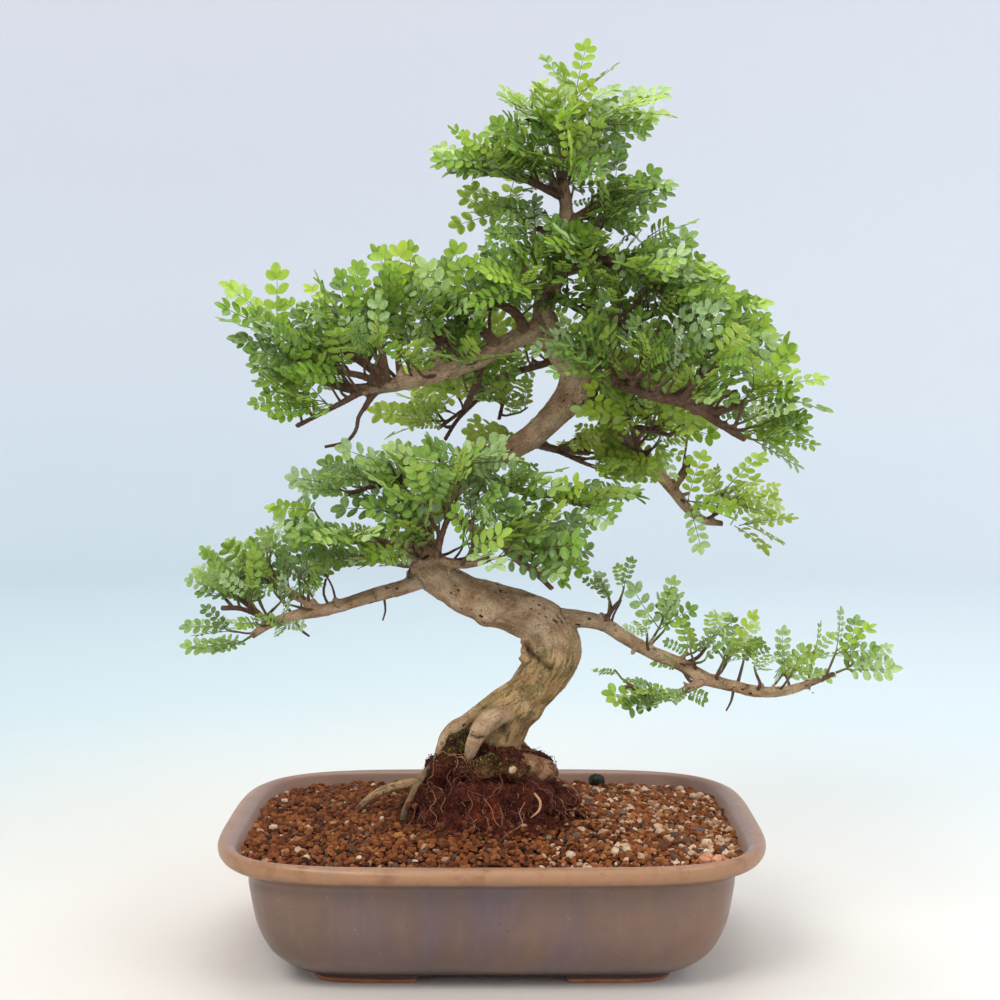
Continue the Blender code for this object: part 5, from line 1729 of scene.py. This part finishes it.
def extra_twigs(routes):
    """Twigs off the leafy stretches: name, route with radii, and the direction of their shoot."""
    twigs = []
    for name, (start, spacing, shortest, longest) in LEAFY.items():
        draw = random.Random("twigs " + name)
        route = routes["trunk" if name == "leader" else name]
        rise = 0.3 if name.startswith(FLAT_SHOOTS) else 1.0
        runs = np.concatenate([[0], np.cumsum(np.linalg.norm(np.diff(route[:, :3], axis=0), axis=1))])
        travelled = start * runs[-1] + draw.uniform(0, spacing) * MM
        side_sign = draw.choice((-1, 1))
        number = 0
        while travelled < runs[-1] - 0.003:
            here = np.array([np.interp(travelled, runs, route[:, column]) for column in range(4)])
            ahead = np.array([np.interp(travelled + 0.002, runs, route[:, column]) for column in range(3)])
            tangent = Vector(ahead - here[:3]).normalized()
            sideways = UP.cross(tangent)
            sideways = sideways.normalized() if sideways.length > 0.2 else Vector((1, 0, 0))
            direction = (draw.uniform(0.0, 0.9) * tangent + side_sign * draw.uniform(0.1, 1.0) * sideways
                         + rise * draw.uniform(-0.15, 1.0) * UP).normalized()
            reach = draw.uniform(shortest, longest) * MM
            origin = Vector(here[:3])
            bend = Vector((draw.uniform(-0.5, 0.5), draw.uniform(-0.5, 0.5), 0.4 * rise))
            bent = (direction + bend).normalized()
            elbow = origin + direction * (here[3] * 0.6 + reach * 0.5)
            end = elbow + bent * reach * 0.5
            thick = draw.uniform(0.0007, 0.0013)
            twigs.append(("%s_twig_%d" % (name, number), [(*origin, thick * 1.5), (*elbow, thick * 1.1),
                                                          (*end, thick)], bent))
            side_sign = -side_sign if draw.random() < 0.8 else side_sign
            travelled += spacing * MM * draw.uniform(0.45, 1.6)
            number += 1
    return twigs


def inside_box(corners):
    """True while a leaf stays within the solid model's box and the little that it may stand proud."""
    low = Vector(cad_box[0]) - HOME
    high = Vector(cad_box[1]) - HOME
    spare = 0.024 * (high - low)
    return all(low[axis] - spare[axis] < corners[:, axis].min()
               and corners[:, axis].max() < high[axis] + spare[axis] for axis in range(3))


def gather_leaves(lines, twigs, variants):
    """Every leaf of the tree: its group, variant and place, and the stems that carry them."""
    leaves, stems = [], []
    shoots = []
    for name, place, direction, stub in lines:
        small = name.startswith(("low_left", "low_right")) and not name.startswith("low_right_up")
        stem = shoot_stem(place, direction, SHOOT_LENGTH * (0.8 if small else 1.0))
        count, lowest, size = (5, 0.0, 0.86) if small else (6, LOWEST_SLOPE, 1.0)
        shoots.append((name, stem, count, lowest, 0.35, size))
    for name, route, direction in twigs:
        draw = random.Random("count " + name)
        spots = [Vector(point[:3]) for point in route]
        size = draw.choice(TWIG_LEAF_SIZES)
        group = group_of(name)
        size *= LEAF_SIZES.get(group, 1.0)
        fewest = 2 if group in AIRY and not glow_of(name) else 3
        rising = group in ("foliage_low_left", "foliage_mid_left") and not glow_of(name)
        shoots.append((name, shoot_stem(spots[-1], direction, SHOOT_LENGTH * draw.uniform(0.4, 0.8)),
                       draw.randint(fewest, fewest + 2), 0.0 if rising else -0.5, 0.8, size))
        most = 0 if group in ("foliage_low_left", "foliage_low_right", "foliage_mid_left") else 1
        stem = [spots[0].lerp(spots[1], 0.7), spots[1], spots[2]]
        shoots.append((name + "_low", stem, draw.randint(0, most), -0.6, 0.7, size * 0.85))
    centres = {}
    for group in GROUPS:
        places = [stem[0] for name, stem, *rest in shoots if group_of(name) == group]
        centres[group] = sum(places, Vector()) / len(places) - 0.012 * UP
    for name, stem, count, lowest, pull, size in shoots:
        draw = random.Random("choice " + name)
        # Some leaves get a strong painted sheen, a whitish reflection, and the others a faint one
        sheen_share, faint_sheen = (0.34, 0.25) if name.startswith(("low_", "mid_right_cover")) else (0.18, 0.07)
        kept = 0
        for number, matrix in enumerate(leaf_placements(name, stem, lowest)[:count]):
            lift = 0.22 if name.startswith(FLAT_SHOOTS) else 1.0
            grown = size * draw.uniform(0.86, 1.06)
            matrix = turned_to_light(matrix, draw, centres[group_of(name)], pull, grown, lift)
            variant = draw.randrange(LEAF_VARIANTS)
            local = variants[variant][0]
            turn = np.array(matrix.to_3x3())
            points = local @ turn.T + np.array(matrix.translation)
            if inside_box(points):
                chance = draw.gauss(0, TONE_SPREAD)
                bloom = draw.uniform(0.4, 1) if draw.random() < sheen_share else draw.uniform(0, faint_sheen)
                leaves.append({"group": group_of(name), "points": points, "variant": variant,
                               "young": YOUNG_LIFT if number == 0 else 0.0, "chance": chance,
                               "glow": glow_of(name), "bloom": bloom})
                kept += 1
        if kept and not name.endswith("_low"):
            stems.append((group_of(name), stem))
    return leaves, stems


# Leaf tones, from 0, dark, to 1, fresh yellow-green. Painted shade darkens a leaf for each leaf above it,
# and painted light lifts leaves that light shines through.
OPEN_TONE = 0.46
SHADE_PER_LEAF = 0.036
MOST_SHADING = 12
SHINE_THROUGH = 0.24
YOUNG_LIFT = 0.16
TONE_SPREAD = 0.15


def leaves_in_cone(offset, side):
    """How many leaves lie in the cone above a leaf, with side 1, or below it, with side -1."""
    rise = side * offset[:, 2]
    flat = np.hypot(offset[:, 0], offset[:, 1])
    return np.sum((rise > 0.006) & (rise < 0.07) & (flat < 0.014 + 0.35 * rise))


def leaf_tones(leaves):
    """Painted light and shade in the leaf tones: fresh yellow-green where a leaf is open to the sky,
    painted shade where others cover it, painted light where light shines through.
    """
    centres = np.array([leaf["points"].mean(axis=0) for leaf in leaves])
    tones = []
    for leaf, centre in zip(leaves, centres):
        offset = centres - centre
        cover, under = leaves_in_cone(offset, 1), leaves_in_cone(offset, -1)
        # Painted light where a leaf has many leaves above it and few below; painted shade for each leaf
        # above it
        lit_through = SHINE_THROUGH if under < 3 and cover > 4 else 0.0
        shade = SHADE_PER_LEAF * min(cover * OPEN_PADS.get(leaf["group"], 1.0), MOST_SHADING)
        tone = OPEN_TONE - shade + lit_through + leaf["young"] + SHADES.get(leaf["group"], 0.0)
        # Leaves in GLOWING take their painted light in place of the worked-out tone
        tone = (leaf["glow"] or tone) + leaf["chance"]
        tones.append(min(max(tone, 0.03), 1.0))
    return tones


def build_foliage(lines, twigs, material):
    variants = [leaf_variant(number) for number in range(LEAF_VARIANTS)]
    leaves, stems = gather_leaves(lines, twigs, variants)
    growths = {group: Growth("tone", "bloom", "rib", "below", "stalk") for group in GROUPS}
    for leaf, tone in zip(leaves, leaf_tones(leaves)):
        points, faces, numbers = variants[leaf["variant"]]
        growths[leaf["group"]].add(leaf["points"], faces, tone=tone + numbers["shift"], bloom=leaf["bloom"],
                                   rib=numbers["rib"], below=numbers["below"], stalk=numbers["stalk"])
    for group, stem in stems:
        route = smooth_route([point[:] for point in stem], 0.006)
        radii = np.linspace(SHOOT_RADIUS * 0.9, SHOOT_RADIUS * 0.55, len(route))
        growths[group].add(*tube_body(route, radii, 6), tone=0.35, bloom=0, rib=0, below=0, stalk=1)
    for group, growth in growths.items():
        nodes = ["spray_" + line[0] for line in lines if group_of(line[0]) == group]
        add_piece(group, growth.mesh(group), material, "foliage", *nodes)


def build_twigs(twigs, material):
    growth = Growth("age", "fresh", "crease", "cut")
    grains = []
    courses = [(route, 6, 0.8) for name, route, direction in twigs]
    courses += [(in_metres(twig), 7, 0.85) for twig in BARE_TWIGS]
    for course, sides, fresh in courses:
        rows = smooth_route(course, 0.004)
        points, faces = tube_body(rows[:, :3], rows[:, 3], sides)
        growth.add(points, faces, age=0, fresh=fresh, crease=0, cut=0)
        grains.append(points * np.array([1, 1, 0.4]))
    mesh = growth.mesh("twigs")
    add_vectors(mesh, "grain", np.vstack(grains))
    add_piece("twigs", mesh, material, "bark")


def main():
    build_camera()
    build_lights()
    build_stage()
    build_pot(glaze_material())
    build_soil_bed(bed_material())
    plastic = plastic_material()
    for name in ("drain_screen_left", "drain_screen_right"):
        frame["nodes"][name].data.materials[0] = plastic
    routes = wood_routes()
    lines = shoot_lines()
    twigs = extra_twigs(routes)
    bark = bark_material()
    build_wood(routes, lines, bark)
    build_twigs(twigs, bark)
    mat = build_root_mat(mat_material())
    build_grains(grain_material(), Surface(mat.data))
    build_fibres(mat.data, fibre_material())
    build_moss(mat.data, moss_material())
    build_bits()
    build_foliage(lines, twigs, leaf_material())


main()
